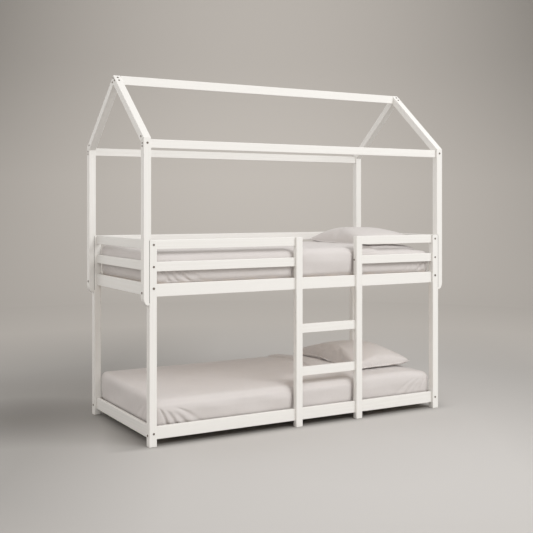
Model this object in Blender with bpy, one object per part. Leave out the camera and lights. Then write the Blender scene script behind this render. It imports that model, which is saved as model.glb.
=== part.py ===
"""House bunk bed.

Two bunks, one above the other, in a painted timber frame. A ladder leads to the upper bunk, and a
gabled house frame stands on the outside of the corner posts. X runs along the bed, -Y is the ladder
side, +Z is up, and the origin is on the floor under the middle of the bed. All sizes are in metres.
"""

import math

import bmesh
import bpy
from mathutils import Matrix, Vector

# Mattresses
MATTRESS_LENGTH = 2.000
MATTRESS_WIDTH = 0.900
MATTRESS_THICKNESS = 0.190
MATTRESS_CROWN = 0.008
CROWN_REACH_SHARE = 0.25
MATTRESS_EDGE_ROUND = 0.034
MATTRESS_DRAW_IN = 0.010
MATTRESS_CORNER_EASE = 0.010
BED_SLACK = 0.002

# Pillows
PILLOW_LENGTH = 0.730
PILLOW_WIDTH = 0.465
PILLOW_LOFT = 0.095
PILLOW_SEAM_HEIGHT = 0.020
PILLOW_BACK_SHIFT = 0.032
LOWER_PILLOW_HEAD_GAP = 0.065
UPPER_PILLOW_HEAD_GAP = 0.013
PILLOW_WAIST_SHARE = 0.05
PILLOW_DOME_POWER = 0.8
PILLOW_FLAT_RATIO = 2.2

# Bunk frame
POST_SIDE = 0.045
BUNK_POST_HEIGHT = 1.160
RAIL_THICKNESS = 0.020
RAIL_SETBACK = 0.016
SIDE_RAIL_HEIGHT = 0.072
GUARD_RAIL_HEIGHT = 0.054
GUARD_GAP = 0.070
FLOOR_GAP = 0.038

# Ladder
LADDER_OFFSET = 0.170
LADDER_CLEAR_WIDTH = 0.402
LADDER_POST_WIDTH = 0.045
FIRST_RUNG_TOP = 0.362
RUNG_PITCH = 0.264
RUNG_HEIGHT = 0.056
RUNG_COUNT = 2

# House frame
LAP_DEPTH = 0.0105
LAP_END_HEIGHT = 0.794
LAP_ROUND_WIDTH = 0.028
LAP_ROUND_HEIGHT = 0.046
EAVE_HEIGHT = 1.732
RIDGE_HEIGHT = 2.140
EAVE_BEAM_HEIGHT = 0.049
EAVE_BEAM_DROP = 0.006
RIDGE_BEAM_HEIGHT = 0.054
RIDGE_BEAM_DROP = 0.002

# Slatted bases and the ledges that carry them
LEDGE_WIDTH = 0.022
LEDGE_HEIGHT = 0.020
LOWER_LEDGE_RISE = 0.002
UPPER_LEDGE_RISE = 0.023
SLAT_COUNT = 14
SLAT_WIDTH = 0.068
SLAT_THICKNESS = 0.015
SLAT_END_MARGIN = 0.012
STRAP_WIDTH = 0.020
STRAP_THICKNESS = 0.0015
STRAP_SINK = 0.0005
STRAP_INSET = 0.150

# Connector bolts
BOLT_HEAD_RADIUS = 0.007
BOLT_HEAD_HEIGHT = 0.0022
BOLT_HEAD_CHAMFER = 0.0006
BOLT_SHANK_RADIUS = 0.003
BOLT_GRIP = 0.032
BOLT_OFFSET = 0.012
SOCKET_RADIUS = 0.0024
SOCKET_DEPTH = 0.0016

# Gaps and finish
FIT_GAP = 0.0003
CUT_OVERRUN = 0.004
EDGE_ROUND = 0.0025
SMOOTH_ANGLE = math.radians(32)

# Counts that set how finely curves are faceted
EDGE_SEGMENTS = 2
LAP_ROUND_SEGMENTS = 8
BOLT_SIDES = 18
HOLE_SIDES = 16
CORNER_STEPS = 4
LONG_STEPS = 7
SHORT_STEPS = 4
ROUND_STEPS = 3
SIDE_STEPS = 4
CROWN_STEPS = 3
PILLOW_LONG_STEPS = 18
PILLOW_SHORT_STEPS = 14

# Places that follow from the sizes above, measured from the bed's middle
rail_inset = RAIL_SETBACK + RAIL_THICKNESS
half_length = MATTRESS_LENGTH / 2 + BED_SLACK + rail_inset
half_depth = MATTRESS_WIDTH / 2 + BED_SLACK + rail_inset
post_centre_x = half_length - POST_SIDE / 2
post_centre_y = half_depth - POST_SIDE / 2
between_posts_x = half_length - POST_SIDE
between_posts_y = half_depth - POST_SIDE
rail_centre_x = half_length - RAIL_SETBACK - RAIL_THICKNESS / 2
rail_centre_y = half_depth - RAIL_SETBACK - RAIL_THICKNESS / 2
rail_inner_y = half_depth - rail_inset

guard_top_low = BUNK_POST_HEIGHT - GUARD_RAIL_HEIGHT
guard_mid_low = guard_top_low - GUARD_GAP - GUARD_RAIL_HEIGHT
upper_side_low = guard_mid_low - GUARD_GAP - SIDE_RAIL_HEIGHT
rail_levels = {
    "lower": (FLOOR_GAP, SIDE_RAIL_HEIGHT),
    "upper": (upper_side_low, SIDE_RAIL_HEIGHT),
    "guard_mid": (guard_mid_low, GUARD_RAIL_HEIGHT),
    "guard_top": (guard_top_low, GUARD_RAIL_HEIGHT),
}

house_outer_x = half_length + POST_SIDE - LAP_DEPTH
house_inner_x = house_outer_x - POST_SIDE
roof_pitch = math.atan2(RIDGE_HEIGHT - EAVE_HEIGHT, half_depth)
rafter_plumb = POST_SIDE / math.cos(roof_pitch)
inner_crease_height = EAVE_HEIGHT - rafter_plumb + POST_SIDE * math.tan(roof_pitch)

ladder_post_x = (LADDER_CLEAR_WIDTH + LADDER_POST_WIDTH) / 2
ladder_centre_y = rail_inset / 2 - half_depth

ends = {"left": -1, "right": 1}
sides = {"front": -1, "back": 1}


def clear_scene():
    """Start from an empty scene."""
    for thing in list(bpy.data.objects):
        bpy.data.objects.remove(thing, do_unlink=True)


def make_material(name, colour, roughness, metallic):
    """One Principled material."""
    material = bpy.data.materials.new(name)
    material.use_nodes = True
    shader = material.node_tree.nodes["Principled BSDF"]
    shader.inputs["Base Color"].default_value = (*colour, 1)
    shader.inputs["Roughness"].default_value = roughness
    shader.inputs["Metallic"].default_value = metallic
    return material


def white_paint():
    """Satin white paint on the frame's timber."""
    return make_material("white_paint", (0.86, 0.85, 0.83), 0.42, 0)


def bare_pine():
    """Untreated pine, for what the mattresses hide."""
    return make_material("bare_pine", (0.72, 0.53, 0.33), 0.65, 0)


def sheet_cloth():
    """Warm grey cotton of the fitted sheets."""
    return make_material("sheet_cloth", (0.66, 0.61, 0.57), 0.9, 0)


def pillow_cloth():
    """Warm grey cotton of the pillow covers."""
    return make_material("pillow_cloth", (0.63, 0.58, 0.53), 0.9, 0)


def dark_steel():
    """Browned steel of the connector bolts."""
    return make_material("dark_steel", (0.13, 0.11, 0.10), 0.35, 1)


def add_object(name, mesh_data, centre, material=None):
    """Turn a bmesh into a named object at its place."""
    mesh = bpy.data.meshes.new(name)
    bmesh.ops.recalc_face_normals(mesh_data, faces=mesh_data.faces)
    mesh_data.to_mesh(mesh)
    mesh_data.free()
    piece = bpy.data.objects.new(name, mesh)
    piece.location = centre
    if material:
        mesh.materials.append(material)
    bpy.context.scene.collection.objects.link(piece)
    return piece


def box_mesh(size, centres=((0, 0, 0),)):
    """Equal boxes at the given places, as a new bmesh."""
    mesh_data = bmesh.new()
    for centre in centres:
        place = Matrix.Translation(centre) @ Matrix.Diagonal((*size, 1))
        bmesh.ops.create_cube(mesh_data, size=1, matrix=place)
    return mesh_data


def ease_edges(piece):
    """Round a timber's long and end edges, as a sanded and painted board has them."""
    bevel = piece.modifiers.new("eased_edges", "BEVEL")
    bevel.width = EDGE_ROUND
    bevel.segments = EDGE_SEGMENTS
    bevel.limit_method = "ANGLE"
    bevel.angle_limit = SMOOTH_ANGLE
    piece.data.shade_smooth()
    piece.data.set_sharp_from_angle(angle=SMOOTH_ANGLE)


def board(name, size, centre, material):
    """A straight timber with eased edges."""
    piece = add_object(name, box_mesh(size), centre, material)
    ease_edges(piece)
    return piece


def add_helper(name, mesh_data, centre=(0, 0, 0)):
    """A body that only serves another piece's Boolean."""
    helper = add_object(name, mesh_data, centre)
    helper.hide_render = True
    helper.display_type = "WIRE"
    return helper


def combine(piece, helper, operation):
    """Cut a piece with a helper, or unite the two."""
    step = piece.modifiers.new(operation.lower(), "BOOLEAN")
    step.operation = operation
    step.solver = "EXACT"
    step.object = helper


def drill(piece, holes):
    """Drill round holes, each given by its mouth, its direction and its depth."""
    mesh_data = bmesh.new()
    for mouth, direction, depth in holes:
        reach = depth + CUT_OVERRUN
        middle = mouth + direction * (reach / 2 - CUT_OVERRUN)
        turn = Vector((0, 0, 1)).rotation_difference(direction).to_matrix().to_4x4()
        bmesh.ops.create_cone(
            mesh_data,
            cap_ends=True,
            segments=HOLE_SIDES,
            radius1=BOLT_SHANK_RADIUS + FIT_GAP,
            radius2=BOLT_SHANK_RADIUS + FIT_GAP,
            depth=reach,
            matrix=Matrix.Translation(middle) @ turn,
        )
    combine(piece, add_helper(piece.name + "_drill", mesh_data), "DIFFERENCE")


def extrude_outline(points, offset):
    """A prism from an outline in space and the step along which it is pulled."""
    mesh_data = bmesh.new()
    face = mesh_data.faces.new([mesh_data.verts.new(point) for point in points])
    pulled = bmesh.ops.extrude_face_region(mesh_data, geom=[face])
    moved = [item for item in pulled["geom"] if isinstance(item, bmesh.types.BMVert)]
    bmesh.ops.translate(mesh_data, verts=moved, vec=offset)
    return mesh_data


def corner_posts(material):
    """The four bunk posts, from the floor to the top guard rail."""
    posts = {}
    for side, y_sign in sides.items():
        for end, x_sign in ends.items():
            centre = (x_sign * post_centre_x, y_sign * post_centre_y, BUNK_POST_HEIGHT / 2)
            size = (POST_SIDE, POST_SIDE, BUNK_POST_HEIGHT)
            posts[side, end] = board(f"corner_post_{side}_{end}", size, centre, material)
    return posts


def long_rail(name, level, start_x, end_x, y_sign, material):
    """A rail along the bed, between two faces that it butts against."""
    low, height = rail_levels[level]
    size = (end_x - start_x - 2 * FIT_GAP, RAIL_THICKNESS, height)
    centre = ((start_x + end_x) / 2, y_sign * rail_centre_y, low + height / 2)
    return board(name, size, centre, material)


def side_rails(material):
    """The lower and upper side rails, and the back's two guard rails."""
    rails = {}
    reach = (-between_posts_x, between_posts_x)
    for side, y_sign in sides.items():
        for level in ("lower", "upper"):
            rails[level, side] = long_rail(f"{level}_side_rail_{side}", level, *reach, y_sign, material)
    for level in ("guard_mid", "guard_top"):
        long_rail(f"{level}_rail_back", level, *reach, sides["back"], material)
    return rails


def front_guard_rails(material):
    """The short guard rails on each side of the ladder."""
    ladder_left = LADDER_OFFSET - ladder_post_x - LADDER_POST_WIDTH / 2
    ladder_right = LADDER_OFFSET + ladder_post_x + LADDER_POST_WIDTH / 2
    reaches = {"left": (-between_posts_x, ladder_left), "right": (ladder_right, between_posts_x)}
    for level in ("guard_mid", "guard_top"):
        for end, reach in reaches.items():
            long_rail(f"{level}_rail_front_{end}", level, *reach, sides["front"], material)


def end_rails(material):
    """The rails across the head and the foot of both bunks."""
    rails = {}
    for level, (low, height) in rail_levels.items():
        for end, x_sign in ends.items():
            size = (RAIL_THICKNESS, 2 * (between_posts_y - FIT_GAP), height)
            centre = (x_sign * rail_centre_x, 0, low + height / 2)
            rails[level, end] = board(f"{level}_end_rail_{end}", size, centre, material)
    return rails


def ladder(material):
    """Two posts, notched from behind over both front side rails, and the rungs between them."""
    notch_depth = RAIL_THICKNESS + FIT_GAP + CUT_OVERRUN
    notch_y = RAIL_SETBACK - FIT_GAP + notch_depth / 2 - half_depth
    for end, x_sign in ends.items():
        centre_x = LADDER_OFFSET + x_sign * ladder_post_x
        centre = (centre_x, ladder_centre_y, BUNK_POST_HEIGHT / 2)
        size = (LADDER_POST_WIDTH, rail_inset, BUNK_POST_HEIGHT)
        post = board(f"ladder_post_{end}", size, centre, material)
        for level in ("lower", "upper"):
            low, height = rail_levels[level]
            notch_size = (LADDER_POST_WIDTH + 2 * CUT_OVERRUN, notch_depth, height + 2 * FIT_GAP)
            notch_centre = (centre_x, notch_y, low + height / 2)
            notch = add_helper(f"{post.name}_{level}_notch", box_mesh(notch_size), notch_centre)
            combine(post, notch, "DIFFERENCE")
    for step in range(RUNG_COUNT):
        top = FIRST_RUNG_TOP + step * RUNG_PITCH
        size = (LADDER_CLEAR_WIDTH - 2 * FIT_GAP, RAIL_THICKNESS, RUNG_HEIGHT)
        centre = (LADDER_OFFSET, -rail_centre_y, top - RUNG_HEIGHT / 2)
        board(f"ladder_rung_{step + 1}", size, centre, material)


def house_post_outline(x_sign, y):
    """A house post seen from the front: full width above the lap, a rounded tongue below it."""
    outer = x_sign * house_outer_x
    inner = x_sign * house_inner_x
    tongue = x_sign * (half_length + FIT_GAP)
    shoulder = BUNK_POST_HEIGHT + FIT_GAP
    top = EAVE_HEIGHT + CUT_OVERRUN
    points = [(inner, y, top), (inner, y, shoulder), (tongue, y, shoulder), (tongue, y, LAP_END_HEIGHT)]
    for step in range(LAP_ROUND_SEGMENTS + 1):
        angle = math.pi / 2 * step / LAP_ROUND_SEGMENTS
        across = LAP_ROUND_WIDTH * (1 - math.sin(angle))
        along = LAP_ROUND_HEIGHT * (1 - math.cos(angle))
        points.append((outer - x_sign * across, y, LAP_END_HEIGHT + along))
    points.append((outer, y, top))
    return points


def house_posts(material):
    """The four house posts, lapped on the ends of the corner posts and mitred to the rafters."""
    posts = {}
    for side, y_sign in sides.items():
        for end, x_sign in ends.items():
            outer_y = y_sign * half_depth
            mesh_data = extrude_outline(house_post_outline(x_sign, outer_y), (0, -y_sign * POST_SIDE, 0))
            fall = Vector((0, -y_sign * POST_SIDE, inner_crease_height - EAVE_HEIGHT))
            cut = bmesh.ops.bisect_plane(
                mesh_data,
                geom=mesh_data.verts[:] + mesh_data.edges[:] + mesh_data.faces[:],
                plane_co=(0, outer_y, EAVE_HEIGHT),
                plane_no=Vector((-y_sign, 0, 0)).cross(fall),
                clear_outer=True,
            )
            rim = [item for item in cut["geom_cut"] if isinstance(item, bmesh.types.BMEdge)]
            bmesh.ops.holes_fill(mesh_data, edges=rim)
            post = add_object(f"house_post_{side}_{end}", mesh_data, (0, 0, 0), material)
            ease_edges(post)
            posts[side, end] = post
    return posts


def rafters(material):
    """The four rafters, plumb cut at the ridge and mitred on the house posts."""
    lift = FIT_GAP / math.cos(math.atan2(EAVE_HEIGHT - inner_crease_height, POST_SIDE))
    for side, y_sign in sides.items():
        for end, x_sign in ends.items():
            start_x = x_sign * house_inner_x
            ridge_y = FIT_GAP / 2
            ridge_top = RIDGE_HEIGHT - ridge_y * math.tan(roof_pitch)
            points = [
                (start_x, y_sign * half_depth, EAVE_HEIGHT + lift),
                (start_x, y_sign * ridge_y, ridge_top + lift),
                (start_x, y_sign * ridge_y, ridge_top + lift - rafter_plumb),
                (start_x, y_sign * (half_depth - POST_SIDE), inner_crease_height + lift),
            ]
            mesh_data = extrude_outline(points, (x_sign * POST_SIDE, 0, 0))
            ease_edges(add_object(f"rafter_{side}_{end}", mesh_data, (0, 0, 0), material))


def house_beams(material):
    """The ridge beam between the gables and the two eave beams between the house posts."""
    length = 2 * (house_inner_x - FIT_GAP)
    ridge_z = RIDGE_HEIGHT - RIDGE_BEAM_DROP - RIDGE_BEAM_HEIGHT / 2
    board("ridge_beam", (length, RAIL_THICKNESS, RIDGE_BEAM_HEIGHT), (0, 0, ridge_z), material)
    eave_z = EAVE_HEIGHT - EAVE_BEAM_DROP - EAVE_BEAM_HEIGHT / 2
    for side, y_sign in sides.items():
        size = (length, RAIL_THICKNESS, EAVE_BEAM_HEIGHT)
        board(f"eave_beam_{side}", size, (0, y_sign * rail_centre_y, eave_z), material)


def bunk_base_height(level):
    """The top of a bunk's ledges."""
    rise = {"lower": LOWER_LEDGE_RISE, "upper": UPPER_LEDGE_RISE}[level]
    return rail_levels[level][0] + rise + LEDGE_HEIGHT


def slat_ledges(level, material):
    """The two ledges screwed to the inside of a bunk's side rails."""
    size = (2 * (between_posts_x - FIT_GAP), LEDGE_WIDTH, LEDGE_HEIGHT)
    centre_z = bunk_base_height(level) - LEDGE_HEIGHT / 2
    centre_y = rail_inner_y - FIT_GAP - LEDGE_WIDTH / 2
    for side, y_sign in sides.items():
        board(f"{level}_slat_ledge_{side}", size, (0, y_sign * centre_y, centre_z), material)


def slatted_base(level, material):
    """Slats held at their spacing by two straps, laid on the ledges as one mat."""
    low = bunk_base_height(level) + FIT_GAP
    half_span = between_posts_x - FIT_GAP - SLAT_END_MARGIN
    pitch = (2 * half_span - SLAT_WIDTH) / (SLAT_COUNT - 1)
    first_x = SLAT_WIDTH / 2 - half_span
    slats = box_mesh(
        (SLAT_WIDTH, MATTRESS_WIDTH, SLAT_THICKNESS),
        [(first_x + index * pitch, 0, 0) for index in range(SLAT_COUNT)],
    )
    base = add_object(f"{level}_slatted_base", slats, (0, 0, low + SLAT_THICKNESS / 2), material)
    strap_size = (-2 * first_x, STRAP_WIDTH, STRAP_THICKNESS + STRAP_SINK)
    strap_z = low + SLAT_THICKNESS + (STRAP_THICKNESS - STRAP_SINK) / 2
    for side, y_sign in sides.items():
        strap_y = y_sign * (MATTRESS_WIDTH / 2 - STRAP_INSET)
        strap = add_helper(f"{level}_strap_{side}", box_mesh(strap_size), (0, strap_y, strap_z))
        combine(base, strap, "UNION")
    return low + SLAT_THICKNESS + STRAP_THICKNESS


def rounded_outline(reach_x, reach_y, radius):
    """Points round a rectangle with round corners, the same number at every size."""
    points = []
    corners = ((1, 1, LONG_STEPS), (-1, 1, SHORT_STEPS), (-1, -1, LONG_STEPS), (1, -1, SHORT_STEPS))
    for quarter, (x_sign, y_sign, _) in enumerate(corners):
        for step in range(CORNER_STEPS + 1):
            angle = math.pi / 2 * (quarter + step / CORNER_STEPS)
            x = x_sign * (reach_x - radius) + radius * math.cos(angle)
            y = y_sign * (reach_y - radius) + radius * math.sin(angle)
            points.append(Vector((x, y)))
    ring = []
    for quarter, (_, _, steps) in enumerate(corners):
        first = quarter * (CORNER_STEPS + 1)
        ring.extend(points[first:first + CORNER_STEPS + 1])
        start = points[first + CORNER_STEPS]
        finish = points[(first + CORNER_STEPS + 1) % len(points)]
        ring.extend(start.lerp(finish, step / steps) for step in range(1, steps))
    return ring


def mattress_profile():
    """The mattress's section as insets from its widest line and heights over its underside."""
    profile = []
    for step in range(ROUND_STEPS + 1):
        angle = math.pi / 2 * step / ROUND_STEPS
        inset = MATTRESS_DRAW_IN + MATTRESS_EDGE_ROUND * (1 - math.sin(angle))
        profile.append((inset, MATTRESS_EDGE_ROUND * (1 - math.cos(angle))))
    side_height = MATTRESS_THICKNESS - 2 * MATTRESS_EDGE_ROUND
    for step in range(1, SIDE_STEPS):
        share = step / SIDE_STEPS
        inset = MATTRESS_DRAW_IN * (2 * share - 1) ** 2
        profile.append((inset, MATTRESS_EDGE_ROUND + side_height * share))
    for step in range(ROUND_STEPS + 1):
        angle = math.pi / 2 * step / ROUND_STEPS
        inset = MATTRESS_DRAW_IN + MATTRESS_EDGE_ROUND * (1 - math.cos(angle))
        profile.append((inset, MATTRESS_THICKNESS - MATTRESS_EDGE_ROUND * (1 - math.sin(angle))))
    edge = MATTRESS_DRAW_IN + MATTRESS_EDGE_ROUND
    crown_reach = MATTRESS_WIDTH * CROWN_REACH_SHARE
    for step in range(1, CROWN_STEPS + 1):
        share = step / CROWN_STEPS
        rise = MATTRESS_CROWN * (1 - (1 - share) ** 2)
        profile.append((edge + crown_reach * share, MATTRESS_THICKNESS + rise))
    return profile


def mattress(level, low, material):
    """A mattress in its fitted sheet: crowned on top, with sides drawn in at their edges."""
    intrusion = max(POST_SIDE - rail_inset - BED_SLACK, 0)
    corner_radius = (math.sqrt(2) * intrusion + MATTRESS_CORNER_EASE) / (math.sqrt(2) - 1)
    mesh_data = bmesh.new()
    rings = []
    for inset, height in mattress_profile():
        radius = corner_radius * (1 - inset / MATTRESS_WIDTH)
        outline = rounded_outline(MATTRESS_LENGTH / 2 - inset, MATTRESS_WIDTH / 2 - inset, radius)
        rings.append([mesh_data.verts.new((point.x, point.y, height)) for point in outline])
    for below, above in zip(rings, rings[1:]):
        for index in range(len(below)):
            following = (index + 1) % len(below)
            mesh_data.faces.new((below[index], below[following], above[following], above[index]))
    mesh_data.faces.new(list(reversed(rings[0])))
    mesh_data.faces.new(rings[-1])
    piece = add_object(f"{level}_mattress", mesh_data, (0, 0, low), material)
    piece.data.shade_smooth()
    return low + MATTRESS_THICKNESS + MATTRESS_CROWN


def pillow_point(across, along, upper):
    """One point of a pillow, from two places between -1 and 1 and the face that it is on."""
    x = PILLOW_WIDTH / 2 * across * (1 - PILLOW_WAIST_SHARE * (1 - along ** 2))
    y = PILLOW_LENGTH / 2 * along * (1 - PILLOW_WAIST_SHARE * (1 - across ** 2))
    fullness = math.sqrt(max((1 - across ** 2) * (1 - along ** 2), 0))
    if upper:
        return Vector((x, y, PILLOW_SEAM_HEIGHT + PILLOW_LOFT * fullness ** PILLOW_DOME_POWER))
    return Vector((x, y, PILLOW_SEAM_HEIGHT * (1 - min(1, PILLOW_FLAT_RATIO * fullness))))


def eased_steps(count):
    """Places from -1 to 1 that lie closer together towards both ends."""
    return [math.sin(math.pi * (step / count - 1 / 2)) for step in range(count + 1)]


def pillow(level, low, head_gap, material):
    """A filled pillow: full in the middle, drawn in along its sides, pointed at its corners."""
    across = eased_steps(PILLOW_SHORT_STEPS)
    along = eased_steps(PILLOW_LONG_STEPS)
    mesh_data = bmesh.new()
    grids = {}
    for upper in (True, False):
        for i, u in enumerate(across):
            for j, v in enumerate(along):
                seam = i in (0, PILLOW_SHORT_STEPS) or j in (0, PILLOW_LONG_STEPS)
                if seam and not upper:
                    grids[upper, i, j] = grids[True, i, j]
                else:
                    grids[upper, i, j] = mesh_data.verts.new(pillow_point(u, v, upper))
    for upper in (True, False):
        for i in range(PILLOW_SHORT_STEPS):
            for j in range(PILLOW_LONG_STEPS):
                corners = ((i, j), (i + 1, j), (i + 1, j + 1), (i, j + 1))
                mesh_data.faces.new([grids[upper, a, b] for a, b in corners])
    centre_x = MATTRESS_LENGTH / 2 - head_gap - PILLOW_WIDTH / 2
    piece = add_object(f"{level}_pillow", mesh_data, (centre_x, PILLOW_BACK_SHIFT, low), material)
    piece.data.shade_smooth()
    piece.data.set_sharp_from_angle(angle=math.pi / 2)


def bolt_mesh(length):
    """A connector bolt along +Z, its flange head's underside at zero and a six-sided socket in it."""
    head_low = -FIT_GAP
    head_top = head_low - BOLT_HEAD_HEIGHT
    rings = [
        (BOLT_SHANK_RADIUS, length, False),
        (BOLT_SHANK_RADIUS, head_low, False),
        (BOLT_HEAD_RADIUS, head_low, False),
        (BOLT_HEAD_RADIUS, head_top + BOLT_HEAD_CHAMFER, False),
        (BOLT_HEAD_RADIUS - BOLT_HEAD_CHAMFER, head_top, False),
        (SOCKET_RADIUS, head_top, True),
        (SOCKET_RADIUS, head_top + SOCKET_DEPTH, True),
    ]
    mesh_data = bmesh.new()
    loops = []
    for radius, height, six_sided in rings:
        loop = []
        for step in range(BOLT_SIDES):
            angle = 2 * math.pi * step / BOLT_SIDES
            reach = radius
            if six_sided:
                reach = radius * math.cos(math.pi / 6) / math.cos(angle % (math.pi / 3) - math.pi / 6)
            loop.append(mesh_data.verts.new((reach * math.cos(angle), reach * math.sin(angle), height)))
        loops.append(loop)
    for below, above in zip(loops, loops[1:]):
        for index in range(BOLT_SIDES):
            following = (index + 1) % BOLT_SIDES
            mesh_data.faces.new((below[index], below[following], above[following], above[index]))
    mesh_data.faces.new(loops[0])
    mesh_data.faces.new(list(reversed(loops[-1])))
    return mesh_data


def bolt(name, seat, direction, length, material):
    """A bolt whose head sits on a timber's face and whose shank runs into the joint."""
    piece = add_object(name, bolt_mesh(length), seat, material)
    piece.rotation_euler = Vector((0, 0, 1)).rotation_difference(direction).to_euler()
    piece.data.shade_smooth()
    piece.data.set_sharp_from_angle(angle=SMOOTH_ANGLE)


def rail_bolts(posts, house, rails, across_rails, material):
    """The bolts that clamp the side rails and the upper end rails to the posts, with their holes."""
    into_rail = BOLT_GRIP + FIT_GAP
    post_holes = {key: [] for key in posts}
    house_holes = {key: [] for key in house}
    rail_holes = {key: [] for key in rails}
    end_holes = {key: [] for key in across_rails}
    for side, end in posts:
        x_sign = ends[end]
        y_sign = sides[side]
        inward = Vector((-x_sign, 0, 0))
        for level in ("lower", "upper"):
            low, height = rail_levels[level]
            centre_z = low + height / 2 - BOLT_OFFSET
            mouth = Vector((x_sign * half_length, y_sign * rail_centre_y, centre_z))
            seat = mouth.copy()
            if level == "upper":
                seat.x = x_sign * house_outer_x
                house_holes[side, end].append((seat, inward, POST_SIDE))
            post_holes[side, end].append((mouth, inward, POST_SIDE + CUT_OVERRUN))
            rail_end = mouth + inward * POST_SIDE
            rail_holes[level, side].append((rail_end, inward, into_rail))
            length = (rail_end - seat).length + BOLT_GRIP
            bolt(f"{level}_side_bolt_{side}_{end}", seat, inward, length, material)
        low, height = rail_levels["upper"]
        across = Vector((0, -y_sign, 0))
        seat = Vector((x_sign * rail_centre_x, y_sign * half_depth, low + height / 2 + BOLT_OFFSET))
        post_holes[side, end].append((seat, across, POST_SIDE + CUT_OVERRUN))
        end_holes["upper", end].append((seat + across * POST_SIDE, across, into_rail))
        bolt(f"upper_end_bolt_{side}_{end}", seat, across, POST_SIDE + BOLT_GRIP, material)
    drilled = ((posts, post_holes), (house, house_holes), (rails, rail_holes), (across_rails, end_holes))
    for pieces, holes in drilled:
        for key, piece in pieces.items():
            if holes[key]:
                drill(piece, holes[key])


def build():
    """Make every piece of the bed."""
    clear_scene()
    paint = white_paint()
    pine = bare_pine()
    posts = corner_posts(paint)
    rails = side_rails(paint)
    front_guard_rails(paint)
    across_rails = end_rails(paint)
    ladder(paint)
    house = house_posts(paint)
    rafters(paint)
    house_beams(paint)
    sheet = sheet_cloth()
    cover = pillow_cloth()
    head_gaps = {"lower": LOWER_PILLOW_HEAD_GAP, "upper": UPPER_PILLOW_HEAD_GAP}
    for level, head_gap in head_gaps.items():
        slat_ledges(level, pine)
        base_top = slatted_base(level, pine)
        mattress_top = mattress(level, base_top + FIT_GAP, sheet)
        pillow(level, mattress_top + FIT_GAP, head_gap, cover)
    rail_bolts(posts, house, rails, across_rails, dark_steel())


build()
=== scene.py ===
# %% [markdown]
# # A house bunk bed, dressed
#
# The bed's timbers, bolts, mattresses and pillows come packed as a fixed frame. This file gives them
# their looks: paint with the grain showing faintly through, cotton over foam, browned steel. The soft
# pieces are made anew, because cloth is where a plain solid looks least like the real thing.

# %% Load the frame
import math
from functools import partialmethod

import bmesh
import bpy
import numpy as np
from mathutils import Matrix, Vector


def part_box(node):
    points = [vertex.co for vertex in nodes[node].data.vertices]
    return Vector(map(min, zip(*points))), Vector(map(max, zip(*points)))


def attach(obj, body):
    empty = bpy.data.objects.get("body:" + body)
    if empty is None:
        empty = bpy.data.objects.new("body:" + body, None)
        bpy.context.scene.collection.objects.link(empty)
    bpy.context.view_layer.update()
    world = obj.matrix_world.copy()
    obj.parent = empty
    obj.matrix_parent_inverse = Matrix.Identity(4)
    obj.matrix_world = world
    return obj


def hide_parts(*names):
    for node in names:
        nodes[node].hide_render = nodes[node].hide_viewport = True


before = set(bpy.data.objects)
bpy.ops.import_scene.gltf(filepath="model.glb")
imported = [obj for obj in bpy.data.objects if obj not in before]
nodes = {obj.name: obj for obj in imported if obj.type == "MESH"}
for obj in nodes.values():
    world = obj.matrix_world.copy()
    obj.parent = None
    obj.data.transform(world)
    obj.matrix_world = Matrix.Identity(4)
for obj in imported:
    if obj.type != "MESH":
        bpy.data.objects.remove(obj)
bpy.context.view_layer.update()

# %% [markdown]
# ## The camera
#
# The photograph was taken standing up, from the ladder side and a little to the foot end, with the
# camera held level. A level camera keeps the posts upright in the picture. The bed sits low in the
# frame, so the lens is shifted down instead of tilted, as an architectural photographer would do.

# %% Camera
PICTURE_SIZE = 533
FOCAL_PIXELS = 912.5
HORIZON_ROW = 206.5
SENSOR_WIDTH = 36
CAMERA_PLACE = (-2.990, -5.237, 1.348)
CAMERA_HEADING = math.radians(29.65)


def add_object(name, data):
    """A new object in the scene, at the origin."""
    made = bpy.data.objects.new(name, data)
    bpy.context.scene.collection.objects.link(made)
    return made


camera_data = bpy.data.cameras.new("camera")
camera_data.sensor_width = SENSOR_WIDTH
camera_data.lens = SENSOR_WIDTH * FOCAL_PIXELS / PICTURE_SIZE
camera_data.shift_y = (HORIZON_ROW - PICTURE_SIZE / 2) / PICTURE_SIZE
camera = add_object("camera", camera_data)
camera.location = CAMERA_PLACE
camera.rotation_euler = (math.pi / 2, 0, -CAMERA_HEADING)
bpy.context.scene.camera = camera
print("lens:", round(camera_data.lens, 1), "mm, shift:", round(camera_data.shift_y, 3))

# %% [markdown]
# ## Helpers for materials
#
# Every finish is a small tree of nodes. An Amount stands for what one node puts out. Writing a sum
# with amounts adds the nodes that work it out, so that each tree below reads as a recipe.

# %% Amounts and nodes
FLOAT, WHOLE = "NodeSocketFloat", "NodeSocketInt"
VECTOR, GEOMETRY, MATERIAL = "NodeSocketVector", "NodeSocketGeometry", "NodeSocketMaterial"


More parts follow.
